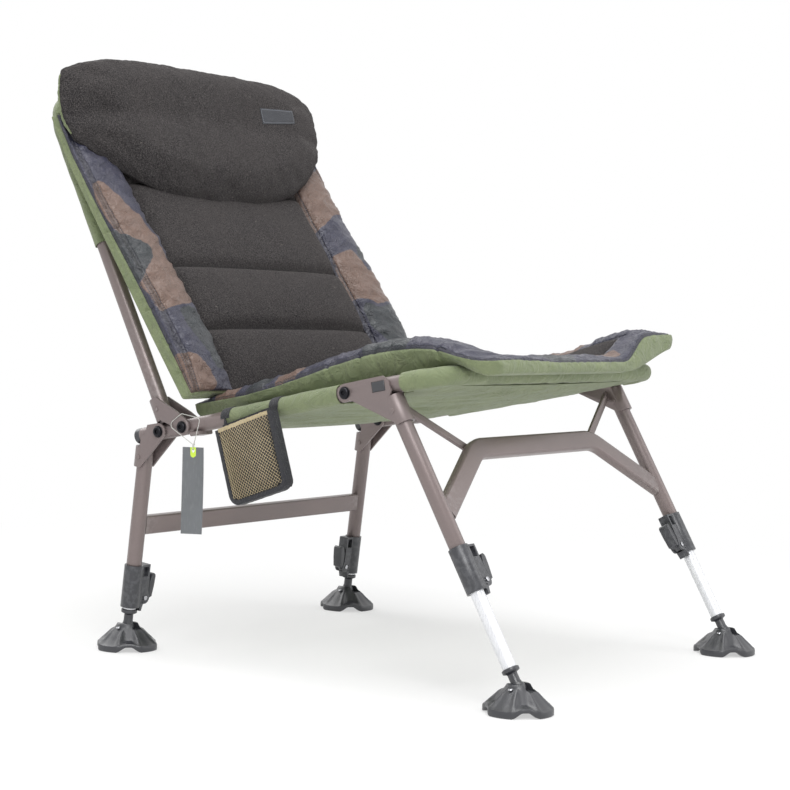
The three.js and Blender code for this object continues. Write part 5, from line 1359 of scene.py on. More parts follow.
def sew_and_fill(quilt, tucks, seed):
    """Swells a cover between its sewn lines and adds the grooves, gathers and creases."""
    near, depth = quilt.value("seam_distance") / MM, quilt.value("depth")
    held = np.where((depth >= 0.99) | (near < 0.8), 1.0, 0.0)
    quilt.swell(held, zone_points(quilt.piece.data, 0) * (depth < 0.01), sizes().swell)
    quilt.refine()
    near, x, v, along, edge = (quilt.value(name) / MM for name in
                               ("seam_distance", "x_place", "v_place", "seam_along", "edge_distance"))
    depth = quilt.value("depth")
    camo, fleece = (zone_points(quilt.piece.data, zone) for zone in (0, 2))
    face = depth < 0.01
    groove = -sizes().seam_depth * (np.exp(-(near / 2.6) ** 2) + 0.9 * np.exp(-(near / 9) ** 2)
                                    * fleece) * face
    pucker = sizes().pucker * gathers(along, seed) * np.exp(-near / 17) * (1 - np.exp(-near / 2.2)) * face
    pucker *= 1.35 * camo + 0.4 * fleece
    slant = smooth_noise((v + 0.25 * np.abs(x)) / 15, x / 70, seed + 2)
    sharp = 1 - np.abs(smooth_noise((v - 0.35 * np.abs(x)) / 30, x / 95, seed + 5)) * 2.6
    fine = 1 - np.abs(smooth_noise((v + 0.5 * np.abs(x)) / 17, x / 50, seed + 8)) * 3
    creases = (0.0022 * slant + 0.0042 * (np.clip(sharp, 0.3, 1) - 0.3) ** 1.5
               + 0.0016 * np.clip(fine, 0, 1) ** 2) * camo * face
    creases *= 1 - np.exp(-near / 5)
    lumps = 0.0012 * smooth_noise(x / 55, v / 45, seed + 9) * fleece * face * (1 - np.exp(-near / 10))
    wall = (~face) & (depth < 0.99)
    side_fold = 0.0026 * smooth_noise((x + v) / 24, depth * 1.4, seed + 3) * np.sin(math.pi * depth) * wall
    side_fold += 0.0016 * smooth_noise((x + v) / 9, depth * 2.2, seed + 4) * (1 - depth) * wall
    tuck = tucked(v, np.maximum(edge, 0), depth, tucks) * (x < -190)
    quilt.press(groove + pucker + creases + lumps + side_fold + tuck)


def nearest_seam(quilt, lines, wall, from_side, brown, dark):
    """The fields of a pad's points: nearest sewn line, way along it, place and printed patches."""
    x, v = quilt.points[:, 0], quilt.v
    distance = np.stack([d for d, along in lines])
    best, near = distance.argmin(0), distance.min(0)
    along = np.stack([np.broadcast_to(a, v.shape) for d, a in lines])[best, np.arange(len(v))]
    near = np.where(quilt.depth == 0, near, quilt.depth * wall)
    return {"seam_distance": near * MM, "seam_along": along * MM, "x_place": x * MM, "v_place": v * MM,
            "depth": quilt.depth, "edge_distance": from_side * MM,
            "brown_patch": blob(x, v, brown), "dark_patch": blob(x, v, dark)}


# Back pad

BACK_LOW, BACK_HIGH = 30, 500
BACK_SEAMS = (30, 137, 246, 392)
BACK_BOLSTER = 94


def back_edge(rise):
    return np.interp(rise, (BACK_LOW, 137, BACK_HIGH - BACK_BOLSTER, BACK_HIGH), (294, 298, 303, 303))


def back_base(rise):
    return SLEEVE + 0.6 + 43 * np.maximum(0, (430 - rise) / (430 - BACK_LOW))


def back_front(x, rise):
    edge = back_edge(rise)
    from_side = edge - np.abs(x)
    under_pillow = 0.85 * smooth_step((rise - BACK_SEAMS[3]) / BACK_BOLSTER)
    ends = smooth_step((rise - BACK_LOW) / BACK_BOLSTER + 0.35) * (1 - under_pillow)
    thin = 1 - 0.35 * smooth_step(rise, BACK_SEAMS[1], BACK_SEAMS[3])
    inner = edge - BACK_BOLSTER
    across = dome((inner - np.abs(x)) / (2 * inner))
    up = np.zeros(np.shape(rise))
    for low, high in zip(BACK_SEAMS, BACK_SEAMS[1:]):
        up = np.where((rise > low) & (rise <= high), dome((rise - low) / (high - low)), up)
    crown = np.where(from_side < BACK_BOLSTER, 22 * dome(from_side / BACK_BOLSTER),
                     across ** 0.5 * (20 - 9 * (1 - up)))
    return back_base(rise) + 18 * thin + crown * ends * thin


class CHAIR_OT_back_pad(bpy.types.Operator):
    """Make the back pad: camouflage bolsters, channelled fleece middle and green sides"""
    bl_idname = "chair.back_pad"
    bl_label = "Back Pad"

    def execute(self, context):
        step = sizes().quilt_step / MM
        unit = step / BACK_BOLSTER
        strip = 3 - 10 / BACK_BOLSTER
        columns = np.concatenate([-bands((3, strip, 2), unit), bands((-2, 0, 2), 2 * step / 190)[1:],
                                  bands((2, strip, 3), unit)[1:]])
        rows = bands((*BACK_SEAMS, BACK_HIGH), step)

        def place(forward):
            def at(u, v):
                x = banded(u, back_edge(v), BACK_BOLSTER)
                return np.stack([x, BACK_OFFSET - forward(x, v), v + 0 * x], -1)
            return at

        def zones(u, v, depth):
            if depth > 0:
                return 1
            return 0 if abs(u) > 2 else 2

        def fields(quilt):
            x, v = quilt.points[:, 0], quilt.v
            from_side = back_edge(v) - np.abs(x)
            centre = from_side > BACK_BOLSTER - 1
            lines = [(np.abs(from_side - BACK_BOLSTER), v), (np.abs(from_side), v),
                     (np.abs(from_side - 10), v + 3), (np.abs(BACK_HIGH - v), x), (np.abs(v - BACK_LOW), x)]
            lines += [(np.abs(v - c) + FAR * (~centre), x) for c in BACK_SEAMS[1:]]
            return nearest_seam(quilt, lines, 18, from_side, BACK_BROWN, BACK_DARK)

        quilt = Quilt("back_cushion", columns, rows, place(back_front),
                      place(lambda x, v: back_base(v) + 0 * x), 4, 2, BACK, fields, zones,
                      [camo_finish(), green_finish(), fleece_finish()])
        sew_and_fill(quilt, BACK_TUCKS, 23)
        stands_for(quilt.piece, "camo_cloth", "back_pad")
        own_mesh(quilt.piece)
        return {"FINISHED"}


# Head rest

PILLOW_RISE, PILLOW_FORWARD, PILLOW_HALF, PILLOW_FLAT = 487, 35, 304, 95
PILLOW_LEAN = math.radians(15)
PILLOW_FULL = 36
PATCH_ACROSS, PATCH_UP, PATCH_FLAT = (0.38, 0.67), (0.17, 0.41), (0.0882, 0.0245)


def pillow_place(depth):
    def at(u, v):
        high = 98 - 28 * u ** 4
        low = -126 + 96 * np.abs(u) ** 2.6 + 6 * u
        z = low + (high - low) * (v + 1) / 2
        lean = np.where(z > 0, z * math.tan(PILLOW_LEAN), 0) - 4 * u ** 6
        along, up = np.sqrt(np.maximum(0, 1 - np.abs(u) ** 5)), np.sqrt(np.maximum(0, 1 - np.abs(v) ** 3))
        bulge = 0.2 + 0.8 * along * up
        x = u * PILLOW_HALF * (1 - 0.04 * v * v)
        return np.stack([x, BACK_OFFSET - PILLOW_FORWARD - lean - depth * bulge, PILLOW_RISE + z], -1)
    return at


class CHAIR_OT_head_rest(bpy.types.Operator):
    """Make the fleece head rest with its green back and the blank woven patch"""
    bl_idname = "chair.head_rest"
    bl_label = "Head Rest"

    def execute(self, context):
        across = np.sin(np.linspace(-1, 1, 81) * math.pi / 2) * 0.35 + np.linspace(-1, 1, 81) * 0.65
        up = np.sin(np.linspace(-1, 1, 33) * math.pi / 2) * 0.4 + np.linspace(-1, 1, 33) * 0.6

        def fields(quilt):
            u, v = quilt.u, quilt.v
            edge = np.minimum((1 - np.abs(u)) * PILLOW_HALF, (1 - np.abs(v)) * PILLOW_FLAT)
            near = np.where(quilt.depth == 0, edge + 12, np.abs(quilt.depth - 0.5) * 14)
            near = np.where(quilt.depth >= 0.99, edge + 8, near)
            return {"seam_distance": near * MM, "seam_along": (u * PILLOW_HALF + v * PILLOW_FLAT) * MM,
                    "x_place": u * PILLOW_HALF * MM, "v_place": v * PILLOW_FLAT * MM, "depth": quilt.depth}

        def zones(u, v, depth):
            return 1 if depth > 0.99 or (depth > 0.4 and abs(u) > 0.995 and -0.8 < v < 0.9) else 0

        quilt = Quilt("head_cushion", across, up, pillow_place(PILLOW_FULL), pillow_place(-6), 4, -1.5,
                      BACK, fields, zones, [fleece_finish(), green_finish()])
        layer = quilt.piece.data.uv_layers["cloth"]
        flat = np.zeros(len(layer.data) * 2)
        layer.data.foreach_get("uv", flat)
        layer.data.foreach_set("uv", (flat.reshape(-1, 2) * (PILLOW_HALF, PILLOW_FLAT)).ravel())
        depth = quilt.value("depth")
        quilt.swell(np.where((depth > 0.4) & (depth < 0.6), 1.0, 0.0), np.zeros(len(depth)), 0.005)
        quilt.refine()
        depth = quilt.value("depth")
        x, v = quilt.value("x_place") / MM, quilt.value("v_place") / MM
        near = quilt.value("seam_distance") / MM
        seam = np.exp(-(near / 2.4) ** 2)
        lumps = 0.0022 * smooth_noise(x / 75, v / 50, 31) + 0.0009 * smooth_noise(x / 26, v / 22, 33)
        edge = np.minimum(PILLOW_HALF - np.abs(x), PILLOW_FLAT - np.abs(v))
        gathered = 0.0016 * gathers(x * 1.0 + v * 1.3, 35, 11) * np.exp(-np.maximum(edge, 0) / 22)
        rear = depth >= 0.99
        folds = 0.0022 * smooth_noise((x + 0.6 * v) / 30, v / 60, 37) * rear
        quilt.press(lumps * (depth == 0) + gathered - 0.0018 * seam + folds)
        stands_for(quilt.piece, "fleece", "head_pillow")
        self.patch(quilt.piece)
        return {"FINISHED"}

    @staticmethod
    def patch(pillow):
        """A thin woven patch that lies on the fleece."""
        bpy.context.view_layer.update()
        tree = BVHTree.FromObject(pillow, bpy.context.evaluated_depsgraph_get())
        out = BACK.to_3x3() @ Vector((0, -1, 0))
        (left, right), (low, high), (wide, tall) = PATCH_ACROSS, PATCH_UP, PATCH_FLAT
        u, v = np.meshgrid(np.linspace(left, right, 25), np.linspace(low, high, 11))
        points = moved((pillow_place(PILLOW_FULL)(u, v).reshape(-1, 3), []), matrix=BACK)[0] * MM
        rest = []
        for p in points:
            hit = tree.ray_cast(Vector(p) + out * 0.05, -out, 0.1)[0]
            rest.append(hit if hit is not None else Vector(p))
        rest = np.array(rest).reshape(*u.shape, 3)
        rounded = np.clip(np.minimum(np.minimum(u - left, right - u) / 0.012,
                                     np.minimum(v - low, high - v) / 0.035), 0, 1)
        raised = rest + np.array(out) * (0.0006 + 0.0011 * np.sqrt(rounded))[..., None]
        piece = make_piece("patch", (raised.reshape(-1, 3) / MM, grid_faces(*u.shape)), label_finish(),
                           None, 60, False)
        mesh = piece.data
        flat_u = ((u - left) / (right - left)).ravel() * wide
        flat_v = ((v - low) / (high - low)).ravel() * tall
        from_end, from_top = np.minimum(flat_u, wide - flat_u), np.minimum(flat_v, tall - flat_v)
        add_field(mesh, "seam_distance", np.minimum(from_end, from_top))
        add_field(mesh, "seam_along", np.where(from_end < from_top, flat_v, flat_u))
        layer = mesh.uv_layers.new(name="cloth")
        index = np.array([loop.vertex_index for loop in mesh.loops])
        layer.data.foreach_set("uv", np.stack([flat_u[index], flat_v[index]], 1).ravel())
        thicken(piece, 0.0022, -1)
        smooth_shade(piece, 50)
        stands_for(piece, "label", "head_label")


# Cloth under and behind the pads

def cloth_grid(name, points, material, thickness, closed, frame_):
    """A sheet from a grid of points in millimetres, with its flat coordinates, given a thickness."""
    ny, nx = points.shape[:2]
    points = moved((points.reshape(-1, 3), []), matrix=frame_)[0].reshape(ny, nx, 3)
    step_x = np.linalg.norm(np.diff(points, axis=1), axis=2).mean(0)
    step_y = np.linalg.norm(np.diff(points, axis=0), axis=2).mean(1)
    run_x, run_y = np.concatenate([[0], np.cumsum(step_x)]), np.concatenate([[0], np.cumsum(step_y)])
    mesh = bpy.data.meshes.new(name)
    mesh.from_pydata((points.reshape(-1, 3) * MM).tolist(), [], grid_faces(ny, nx, closed))
    layer = mesh.uv_layers.new(name="cloth")
    uv = []
    for j in range(ny - 1):
        for i in range(nx if closed else nx - 1):
            right = run_x[i + 1] if i + 1 < nx else run_x[i] + step_x.mean()
            uv += [(run_x[i], run_y[j]), (right, run_y[j]), (right, run_y[j + 1]), (run_x[i], run_y[j + 1])]
    layer.data.foreach_set("uv", (np.array(uv) * MM).ravel())
    mesh.materials.append(material)
    piece = linked(name, mesh)
    thicken(piece, thickness * MM)
    smooth_shade(piece, 60)
    return piece


def sleeve_grid(route, up, seed, wrinkle=0.5, sides=28):
    """Points of a cloth tube round a frame tube, slightly loose."""
    dense = closely(route, 6)
    rows, run = [], 0.0
    for i, (here, side, rise) in enumerate(stations(dense, up)):
        if i:
            run += (here - dense[i - 1]).length
        turn = np.arange(sides) * 2 * math.pi / sides
        loose = np.array([noise.noise(Vector((run / 26, math.cos(t) * 1.2, seed + math.sin(t) * 1.2)))
                          for t in turn])
        r = SLEEVE - 0.3 + wrinkle * (0.4 + loose * 2)
        rows.append([here + side * float(a * math.cos(t)) + rise * float(a * math.sin(t))
                     for a, t in zip(r, turn)])
    return np.array([[list(p) for p in row] for row in rows])


def joined(name, pieces):
    """One object from several cloth pieces."""
    base = pieces[0]
    work = bmesh.new()
    for piece in pieces:
        work.from_mesh(piece.data)
    work.to_mesh(base.data)
    work.free()
    for piece in pieces[1:]:
        bpy.data.objects.remove(piece)
    base.name = name
    base.data.name = name
    smooth_shade(base, 60)
    return base


CLOTH = 1.1
COVER_LOW = 302


class CHAIR_OT_covers(bpy.types.Operator):
    """Make the seat sling with its sleeves and the back cover"""
    bl_idname = "chair.covers"
    bl_label = "Sling and Back Cover"

    def execute(self, context):
        green = green_finish()
        parts = []
        for sign in (-1, 1):
            rear = sleeve_grid(rail_route(SLING_REAR, REAR_SLEEVE_END, sign), (0, 0, 1), 3 + sign)
            parts.append(cloth_grid("sleeve", rear, green, CLOTH, True, SEAT))
        front = sleeve_grid(rail_route(FRONT_SLEEVE_START), (0, 0, 1), 9)
        parts.append(cloth_grid("sleeve", front, green, CLOTH, True, SEAT))
        reaches = bands((SLING_REAR, 330, REAR_SLEEVE_END, FRONT_SLEEVE_START, SLING_FRONT), 6)
        shares = bands((-1, -0.8, 0, 0.8, 1), 0.016)
        v, u = np.meshgrid(reaches, shares, indexing="ij")
        sleeved = (v < REAR_SLEEVE_END - 1) | (v > FRONT_SLEEVE_START + 1)
        x = u * (rail_half_width(v) - np.where(sleeved, 5.8, 20.2))
        sag = sling_height(x, v)
        inside = (1 - np.abs(u) ** 3) * smooth_step(SLING_FRONT - v, 0, 30)
        inside = inside * smooth_step(v - SLING_REAR, 0, 30)
        pull = smooth_noise((v + 0.5 * np.abs(x)) / 26, x / 150, 51)
        drawn = smooth_noise((v - 0.35 * x) / 15, x / 95, 53)
        low = sag - 1 - inside * (2.6 + 4.5 * pull + 2.6 * drawn)
        parts.append(cloth_grid("panel", np.stack([x, -v, low], -1), green, CLOTH, False, SEAT))
        sling = joined("sling", parts)
        stands_for(sling, "green_cloth", "seat_sling")

        sleeve = sleeve_grid(back_route(COVER_LOW), (0, 1, 0), 15, 0.6)
        parts = [cloth_grid("sleeve", sleeve, green, CLOTH, True, BACK)]
        v, u = np.meshgrid(bands((COVER_LOW, BACK_HEIGHT), 8), bands((-1, 0, 1), 0.03), indexing="ij")
        corner = np.clip((v - BACK_HEIGHT + BACK_BEND) / BACK_BEND, 0, 1)
        x = u * (REAR_HALF - BACK_BEND * (1 - np.sqrt(1 - corner ** 2)) - 4)
        pull = smooth_noise(x / 60, v / 26, 61) * (1 - np.abs(u) ** 4)
        forward = SLEEVE - 1.2 + 1.2 * pull
        parts.append(cloth_grid("panel", np.stack([x, BACK_OFFSET - forward, v], -1), green, CLOTH, False,
                                BACK))
        cover = joined("back_cover", parts)
        stands_for(cover, "green_cloth", "back_sling")
        return {"FINISHED"}


# Side pocket

POCKET_REACH, POCKET_WIDTH, POCKET_DROP, POCKET_MOUTH = 226, 113, 117, 10
POCKET_TILT = math.radians(6.5)
PANEL_IN, PANEL_OUT, POCKET_DEEP, PANEL_CORNER = -12.9, -14.5, 14, 15
TAPE_DEPTH, TAPE_WIDTH, TAPE_INSET, TAPE_FORWARD, TAPE_CORNER = 15.2, 7.2, 3.6, 6.5, 13
STRAP_WIDTH, STRAP_OUT = 17, 13.7
NET_CORNER, NET_BULGE, NET_STRAND = 9, 5.0, 0.0009
POCKET_SPLAY = math.atan2(FRONT_HALF - REAR_HALF, SPLAY[1] - SPLAY[0])
POCKET = SEAT @ Matrix.Translation((-float(rail_half_width(POCKET_REACH)), -POCKET_REACH, 0))
POCKET = POCKET @ Matrix.Rotation(-POCKET_SPLAY, 4, "Z")
TILTED = POCKET @ Matrix.Rotation(-POCKET_TILT, 4, "X")


class CHAIR_OT_pocket(bpy.types.Operator):
    """Make the side pocket: bound panel, net front and the two straps over the rail"""
    bl_idname = "chair.pocket"
    bl_label = "Side Pocket"

    def execute(self, context):
        black, tan = binding_finish(), net_finish()
        half = POCKET_WIDTH / 2
        front = PANEL_OUT - POCKET_DEEP

        # The back panel, slightly slack
        ys, zs = bands((-half + 2, half - 2), 4), bands((-POCKET_DROP + 3, -3), 4)
        z, y = np.meshgrid(zs, ys, indexing="ij")
        slack = smooth_noise(y / 34, z / 40, 71) * 1.6 * (1 - (y / half) ** 4)
        grid = np.stack([np.full(y.shape, (PANEL_IN + PANEL_OUT) / 2) - np.abs(slack) * 0.6, y, z], -1)
        corner = -POCKET_DROP + PANEL_CORNER
        cut = np.sqrt(np.clip(PANEL_CORNER ** 2 - np.clip(corner - z, 0, PANEL_CORNER) ** 2, 0, None))
        limit = half - PANEL_CORNER + cut - 1
        grid[..., 1] = np.where(z < corner, np.clip(y, -limit, limit), y)
        panel = cloth_grid("pocket_panel", grid, black, 1.2, False, TILTED)
        stands_for(panel, "black_cloth", "pocket_back")

        # Binding round the sides and the lower edge, a folded tape
        at = lambda y_, z_: (front + TAPE_FORWARD, y_, z_)
        side, foot = half - TAPE_INSET, -POCKET_DROP + TAPE_INSET
        route = rounded_route([(at(-side, -POCKET_MOUTH),), (at(-side, foot), TAPE_CORNER, 8),
                               (at(side, foot), TAPE_CORNER, 8), (at(side, -POCKET_MOUTH),)])
        tape = self.tape(closely(route, 3), TAPE_DEPTH, TAPE_WIDTH, 1.8, 81)
        edge = make_piece("pocket_binding", tape, black, TILTED, 50)
        self.lay_flat(edge)
        rides_on(edge, "seat")

        # Straps that go over the rail beside the pad
        shapes = []
        for sign in (-1, 1):
            middle = sign * (half - 8.5)
            path = [Vector((-STRAP_OUT, middle, -26)), Vector((-STRAP_OUT, middle, 2))]
            for k in range(13):
                turn = math.pi - k * math.pi / 12 * 0.62
                path.append(Vector((STRAP_OUT * math.cos(turn), middle, STRAP_OUT * math.sin(turn))))
            shapes.append(sweep(path, rounded_box(STRAP_WIDTH, 1.5, 0.6, 3), (1, 0, 0)))
        straps = make_piece("pocket_straps", together(*shapes), black, POCKET, 50)
        self.lay_flat(straps)
        rides_on(straps, "seat")

        self.net(tan, half, front)
        return {"FINISHED"}

    @staticmethod
    def lay_flat(piece):
        """Cloth coordinates from the piece's own place, for straight tapes."""
        mesh = piece.data
        layer = mesh.uv_layers.new(name="cloth")
        flat = np.array([mesh.vertices[loop.vertex_index].co.yz for loop in mesh.loops])
        layer.data.foreach_set("uv", flat.ravel())

    @staticmethod
    def tape(route, depth, width, radius, seed):
        """A soft rounded tape whose width wavers where it has been sewn round."""
        points, run = [], 0.0
        outline = rounded_box(depth, width, radius, 4)
        places = stations(route, (1, 0, 0))
        for i, (here, side, rise) in enumerate(places):
            run += (here - route[i - 1]).length if i else 0
            slow, fine = (noise.noise(Vector((run / length, at, seed))) for length, at in ((9, 0), (3.6, 3)))
            wave = 1 + 0.1 * slow + 0.07 * fine
            for a, b in outline:
                points.append(here + rise * float(a) + side * float(b) * wave)
        size = len(places), len(outline)
        return np.array([list(p) for p in points]), grid_faces(*size, True) + end_faces(*size)

    @staticmethod
    def net(tan, half, front):
        """Knotted net in diamonds, pushed out a little, with a gathered hem at its mouth."""
        pitch = sizes().net_pitch / MM
        wide, low, high = half - 7, -POCKET_DROP + 7, -POCKET_MOUTH
        work = bmesh.new()
        kept = {}

        def knot(i, j):
            if (i, j) not in kept:
                y, z = i * pitch / 2, high - j * pitch / 2
                s, t = y / wide, (z - low) / (high - low)
                bulge = NET_BULGE * (1 - s ** 4) * math.sin(math.pi * min(1, t * 0.8 + 0.1))
                kept[(i, j)] = work.verts.new(Vector((front - bulge, y, z)))
            return kept[(i, j)]

        columns, rows = int(2 * wide / pitch), int((high - low) * 2 / pitch)
        for j in range(1, rows):
            for i in range(-columns, columns + 1):
                if (i + j) % 2:
                    continue
                around = [(i - 1, j), (i, j - 1), (i + 1, j), (i, j + 1)]
                spots = [(a * pitch / 2, high - b * pitch / 2) for a, b in around]
                inside = all(abs(y) <= wide and low <= z <= high for y, z in spots)
                rounded = all(math.hypot(max(0, abs(y) - wide + NET_CORNER), max(0, low + NET_CORNER - z))
                              <= NET_CORNER for y, z in spots)
                if inside and rounded:
                    work.faces.new([knot(a, b) for a, b in around])
        mesh = bpy.data.meshes.new("pocket_net")
        work.to_mesh(mesh)
        work.free()
        mesh.transform(TILTED)
        mesh.transform(Matrix.Scale(MM, 4))
        mesh.materials.append(tan)
        piece = linked("pocket_net", mesh)
        strands = piece.modifiers.new("Strands", "WIREFRAME")
        strands.thickness, strands.use_even_offset, strands.use_replace = NET_STRAND, False, True
        settle(piece)
        smooth_shade(piece, 60)
        hem = []
        for k in range(61):
            y = -wide + 2 * wide * k / 60
            bulge = NET_BULGE * (1 - (y / wide) ** 4) * math.sin(math.pi * 0.9)
            hem.append(Vector((front - bulge, y, high - 1.5 + 0.8 * noise.noise(Vector((y / 5, 0, 5))))))
        band = make_piece("pocket_hem", sweep(hem, rounded_box(1.9, 5.2, 0.8, 3), (0, 0, 1)), tan, TILTED,
                          50)
        stands_for(piece, "net", "pocket_mesh")
        rides_on(band, "seat")


# Hang tag

TAG_HALF, TAG_LENGTH, HOLE_DROP, STRING = 15, 120, 5, 0.6
TAG_TURN = math.radians(25)
REAR_PIVOT_REACH = 123.4


class CHAIR_OT_tag(bpy.types.Operator):
    """Make the blank hang tag and its string"""
    bl_idname = "chair.tag"
    bl_label = "Hang Tag"

    def execute(self, context):
        low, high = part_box("hang_tag")
        middle = Vector(((low.x + high.x) / 2, (low.y + high.y) / 2, 0)) / MM
        top, bottom = high.z / MM, low.z / MM
        across, up = np.linspace(-TAG_HALF, TAG_HALF, 31), np.linspace(0, 1, 81)
        v, u = np.meshgrid(up, across, indexing="ij")
        twist = TAG_TURN + math.radians(5) * np.sin(v * math.pi * 1.2 - 0.4)
        bow = 1.4 * np.sin(v * math.pi * 1.3) - 0.6 * (u / TAG_HALF) ** 2
        x = middle.x - u * np.sin(twist) + bow * np.cos(twist)
        y = middle.y + u * np.cos(twist) + bow * np.sin(twist)
        points = np.stack([x, y, top + (bottom - top) * v], -1).reshape(-1, 3)

        def outside_hole(j, i):
            return math.hypot((across[i] + across[i + 1]) / 2,
                              (up[j] + up[j + 1]) / 2 * TAG_LENGTH - HOLE_DROP) > 2.2

        faces = grid_faces(*u.shape, kept=outside_hole)
        card = make_piece("tag_card", (points, faces), card_finish(), None, 50, False)
        drop, beside = (v * TAG_LENGTH).ravel(), np.abs(u.ravel())
        end = np.hypot(beside, np.maximum(drop - 10, 0))
        add_field(card.data, "bright_tab", np.clip((4.4 - np.where(drop < 10, beside, end)) / 0.8, 0, 1))
        thicken(card, 0.0009)
        smooth_shade(card, 50)
        stands_for(card, "card", "hang_tag")
        stands_for(self.string(), "string", "tag_string")
        return {"FINISHED"}

    @staticmethod
    def string():
        """A smooth string with the route of the frame's own one."""
        rail = lambda reach: Vector((0, -reach * math.cos(RAIL_RISE), reach * math.sin(RAIL_RISE)))
        bolt = PIVOT["back_fold"] + Vector((-REAR_HALF, 0, 0))
        hang = rail(REAR_PIVOT_REACH) - rail(BACK_PIVOT_REACH)
        normal = Vector((-math.cos(TAG_TURN), -math.sin(TAG_TURN), 0))
        lead, lift, face = 3.0, Vector((0, 0, 8.0)), -(15 + 0.3 + STRING)
        in_hole = hang + Vector((-23.5, 0, -32 - HOLE_DROP + 2.2 * math.cos(math.pi / 10) - STRING - 0.3))
        behind, ahead = in_hole - normal * lead, in_hole + normal * lead
        route = rounded_route([(behind + lift,), (Vector((face, -33.8, 13.7)), 6, 8),
                               (Vector((face, 0, 18.7)), 6, 8), (Vector((face, 24.2, 1.7)), 6, 8),
                               (ahead + lift, 1.5, 6), (ahead, 1.5, 6), (behind, 1.5, 6), (behind + lift,)])
        strand = sweep(closely(route, 1.2), ring(STRING, 12), (1, 0, 0.1))
        shape = together(strand, moved(lathe(arc(1.5, range(0, 181, 15)), 16), behind + lift))
        return make_piece("tag_cord", moved(shape, bolt), string_finish(), None, 60)


# Stage

CAMERA_PLACE, CAMERA_TURN = Vector((-2.4032, -1.6509, 0.4858)), (55.622, -2.371, 1.435)
CAMERA_LENS, CAMERA_SHIFT = 90.93, 0.0038
LAMP_TARGET = Vector((0, 0, 0.4))
LAMPS = (("key", (-2.6, -2.2, 2.9), 1.9, 82), ("fill", (1.9, -3.0, 1.9), 2.6, 26),
         ("rear", (0.6, 3.0, 2.6), 2.4, 40), ("top", (-0.3, 0.0, 3.4), 2.2, 62))
FLOOR_HALF, FLOOR_DROP = 14, -0.0004


def seen_directly(tree):
    """1 where the camera, a reflection or clear matter shows the surface, and 0 for other light."""
    path = put(tree, "LightPath").outputs
    return maths(tree, "MAXIMUM", path["Is Camera Ray"],
                 maths(tree, "MAXIMUM", path["Is Glossy Ray"], path["Is Transmission Ray"]))


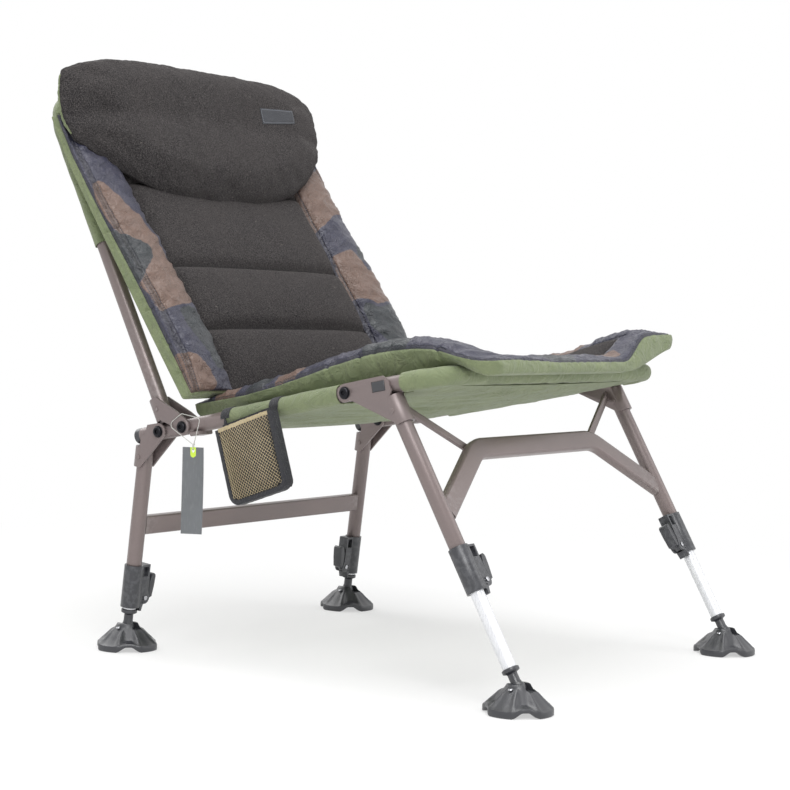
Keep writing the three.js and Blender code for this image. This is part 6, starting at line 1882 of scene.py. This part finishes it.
class CHAIR_OT_stage(bpy.types.Operator):
    """Set up the camera, the floor, the lamps and the world"""
    bl_idname = "chair.stage"
    bl_label = "Stage"

    def execute(self, context):
        scene = context.scene
        scene.view_settings.view_transform = "Standard"
        self.camera(scene)
        self.floor(scene)
        self.lamps(scene)
        self.world(scene)
        return {"FINISHED"}

    @staticmethod
    def camera(scene):
        yaw, pitch, roll = (math.radians(a) for a in CAMERA_TURN)
        forward = Vector((math.sin(yaw) * math.cos(pitch), math.cos(yaw) * math.cos(pitch),
                          math.sin(pitch)))
        level = Vector((math.cos(yaw), -math.sin(yaw), 0))
        upright = level.cross(forward)
        right = level * math.cos(roll) + upright * math.sin(roll)
        above = upright * math.cos(roll) - level * math.sin(roll)
        data = bpy.data.cameras.new("Camera")
        data.lens, data.sensor_width, data.shift_y = CAMERA_LENS, 36, CAMERA_SHIFT
        data.clip_start, data.clip_end = 0.1, 60
        camera = bpy.data.objects.new("Camera", data)
        turn = Matrix((right, above, -forward)).transposed().to_4x4()
        camera.matrix_world = Matrix.Translation(CAMERA_PLACE) @ turn
        scene.collection.objects.link(camera)
        scene.camera = camera

    @staticmethod
    def floor(scene):
        def make(tree, shader):
            where = object_place(tree)
            shade = speckle(tree, where, 3.0, 2.0)
            tone_ = mix(tree, spread(tree, shade, 0.3, 0.7, 0.0, 0.04), colour("floor"), (0.9, 0.9, 0.9, 1))
            wire(tree, shader, Base_Color=tone_, Roughness=0.9, Specular_IOR_Level=0.1)
            seen = seen_directly(tree)
            white = put(tree, "Emission", {"Color": (1, 1, 1, 1), "Strength": 1.0})
            parts = put(tree, "SeparateXYZ", {0: where}).outputs
            squares = [maths(tree, "POWER", maths(tree, "ABSOLUTE", part), 2) for part in parts[:2]]
            away = maths(tree, "SQRT", maths(tree, "ADD", *squares))
            share = maths(tree, "MULTIPLY", seen, spread(tree, away, 0.7, 1.7, 0.55, 1.0))
            both = put(tree, "MixShader", {0: share, 1: shader.outputs[0], 2: white.outputs[0]})
            out = next(n for n in tree.nodes if n.type == "OUTPUT_MATERIAL")
            tree.links.new(both.outputs[0], out.inputs["Surface"])
        mesh = bpy.data.meshes.new("floor")
        corners = [(a * FLOOR_HALF, b * FLOOR_HALF, FLOOR_DROP)
                   for a, b in ((-1, -1), (1, -1), (1, 1), (-1, 1))]
        mesh.from_pydata(corners, [], [(0, 1, 2, 3)])
        mesh.materials.append(finish("Studio floor", make))
        floor = bpy.data.objects.new("floor", mesh)
        scene.collection.objects.link(floor)

    @staticmethod
    def lamps(scene):
        for name, place, size, power in LAMPS:
            data = bpy.data.lights.new(name, "AREA")
            data.shape, data.size, data.energy = "SQUARE", size, power
            lamp = bpy.data.objects.new(name, data)
            lamp.location = place
            lamp.rotation_mode = "QUATERNION"
            lamp.rotation_quaternion = (LAMP_TARGET - Vector(place)).to_track_quat("-Z", "Y")
            scene.collection.objects.link(lamp)

    @staticmethod
    def world(scene):
        world = bpy.data.worlds.new("Studio")
        scene.world = world
        world.use_nodes = True
        tree = world.node_tree
        tree.nodes.clear()
        seen = seen_directly(tree)
        soft = put(tree, "Background", {"Color": (1, 1, 1, 1), "Strength": 0.36})
        white = put(tree, "Background", {"Color": (1, 1, 1, 1), "Strength": 1.0})
        both = put(tree, "MixShader", {0: seen, 1: soft.outputs[0], 2: white.outputs[0]})
        put(tree, "OutputWorld", {"Surface": both.outputs[0]})


MAKERS = (CHAIR_OT_stage, CHAIR_OT_tubes, CHAIR_OT_brackets, CHAIR_OT_legs, CHAIR_OT_feet,
          CHAIR_OT_seat_pad,
          CHAIR_OT_back_pad, CHAIR_OT_head_rest, CHAIR_OT_covers, CHAIR_OT_pocket, CHAIR_OT_tag)


class CHAIR_PT_panel(bpy.types.Panel):
    """The chair's pieces, sizes and colours"""
    bl_idname = "CHAIR_PT_panel"
    bl_label = "Carp Chair"
    bl_space_type = "VIEW_3D"
    bl_region_type = "UI"
    bl_category = "Carp Chair"

    def draw(self, context):
        column = self.layout.column(align=True)
        for maker in MAKERS:
            column.operator(maker.bl_idname)
        for group in (context.scene.chair_sizes, context.scene.chair_colours):
            box = self.layout.box()
            for name in group.bl_rna.properties.keys():
                if name not in ("rna_type", "name"):
                    box.prop(group, name)


CLASSES = (ChairSizes, ChairColours, *MAKERS, CHAIR_PT_panel)


def register():
    for made in CLASSES:
        bpy.utils.register_class(made)
    bpy.types.Scene.chair_sizes = PointerProperty(type=ChairSizes)
    bpy.types.Scene.chair_colours = PointerProperty(type=ChairColours)


def unregister():
    del bpy.types.Scene.chair_colours
    del bpy.types.Scene.chair_sizes
    for made in reversed(CLASSES):
        bpy.utils.unregister_class(made)


def main():
    register()
    for maker in MAKERS:
        group, name = maker.bl_idname.split(".")
        getattr(getattr(bpy.ops, group), name)()


if __name__ == "__main__":
    main()
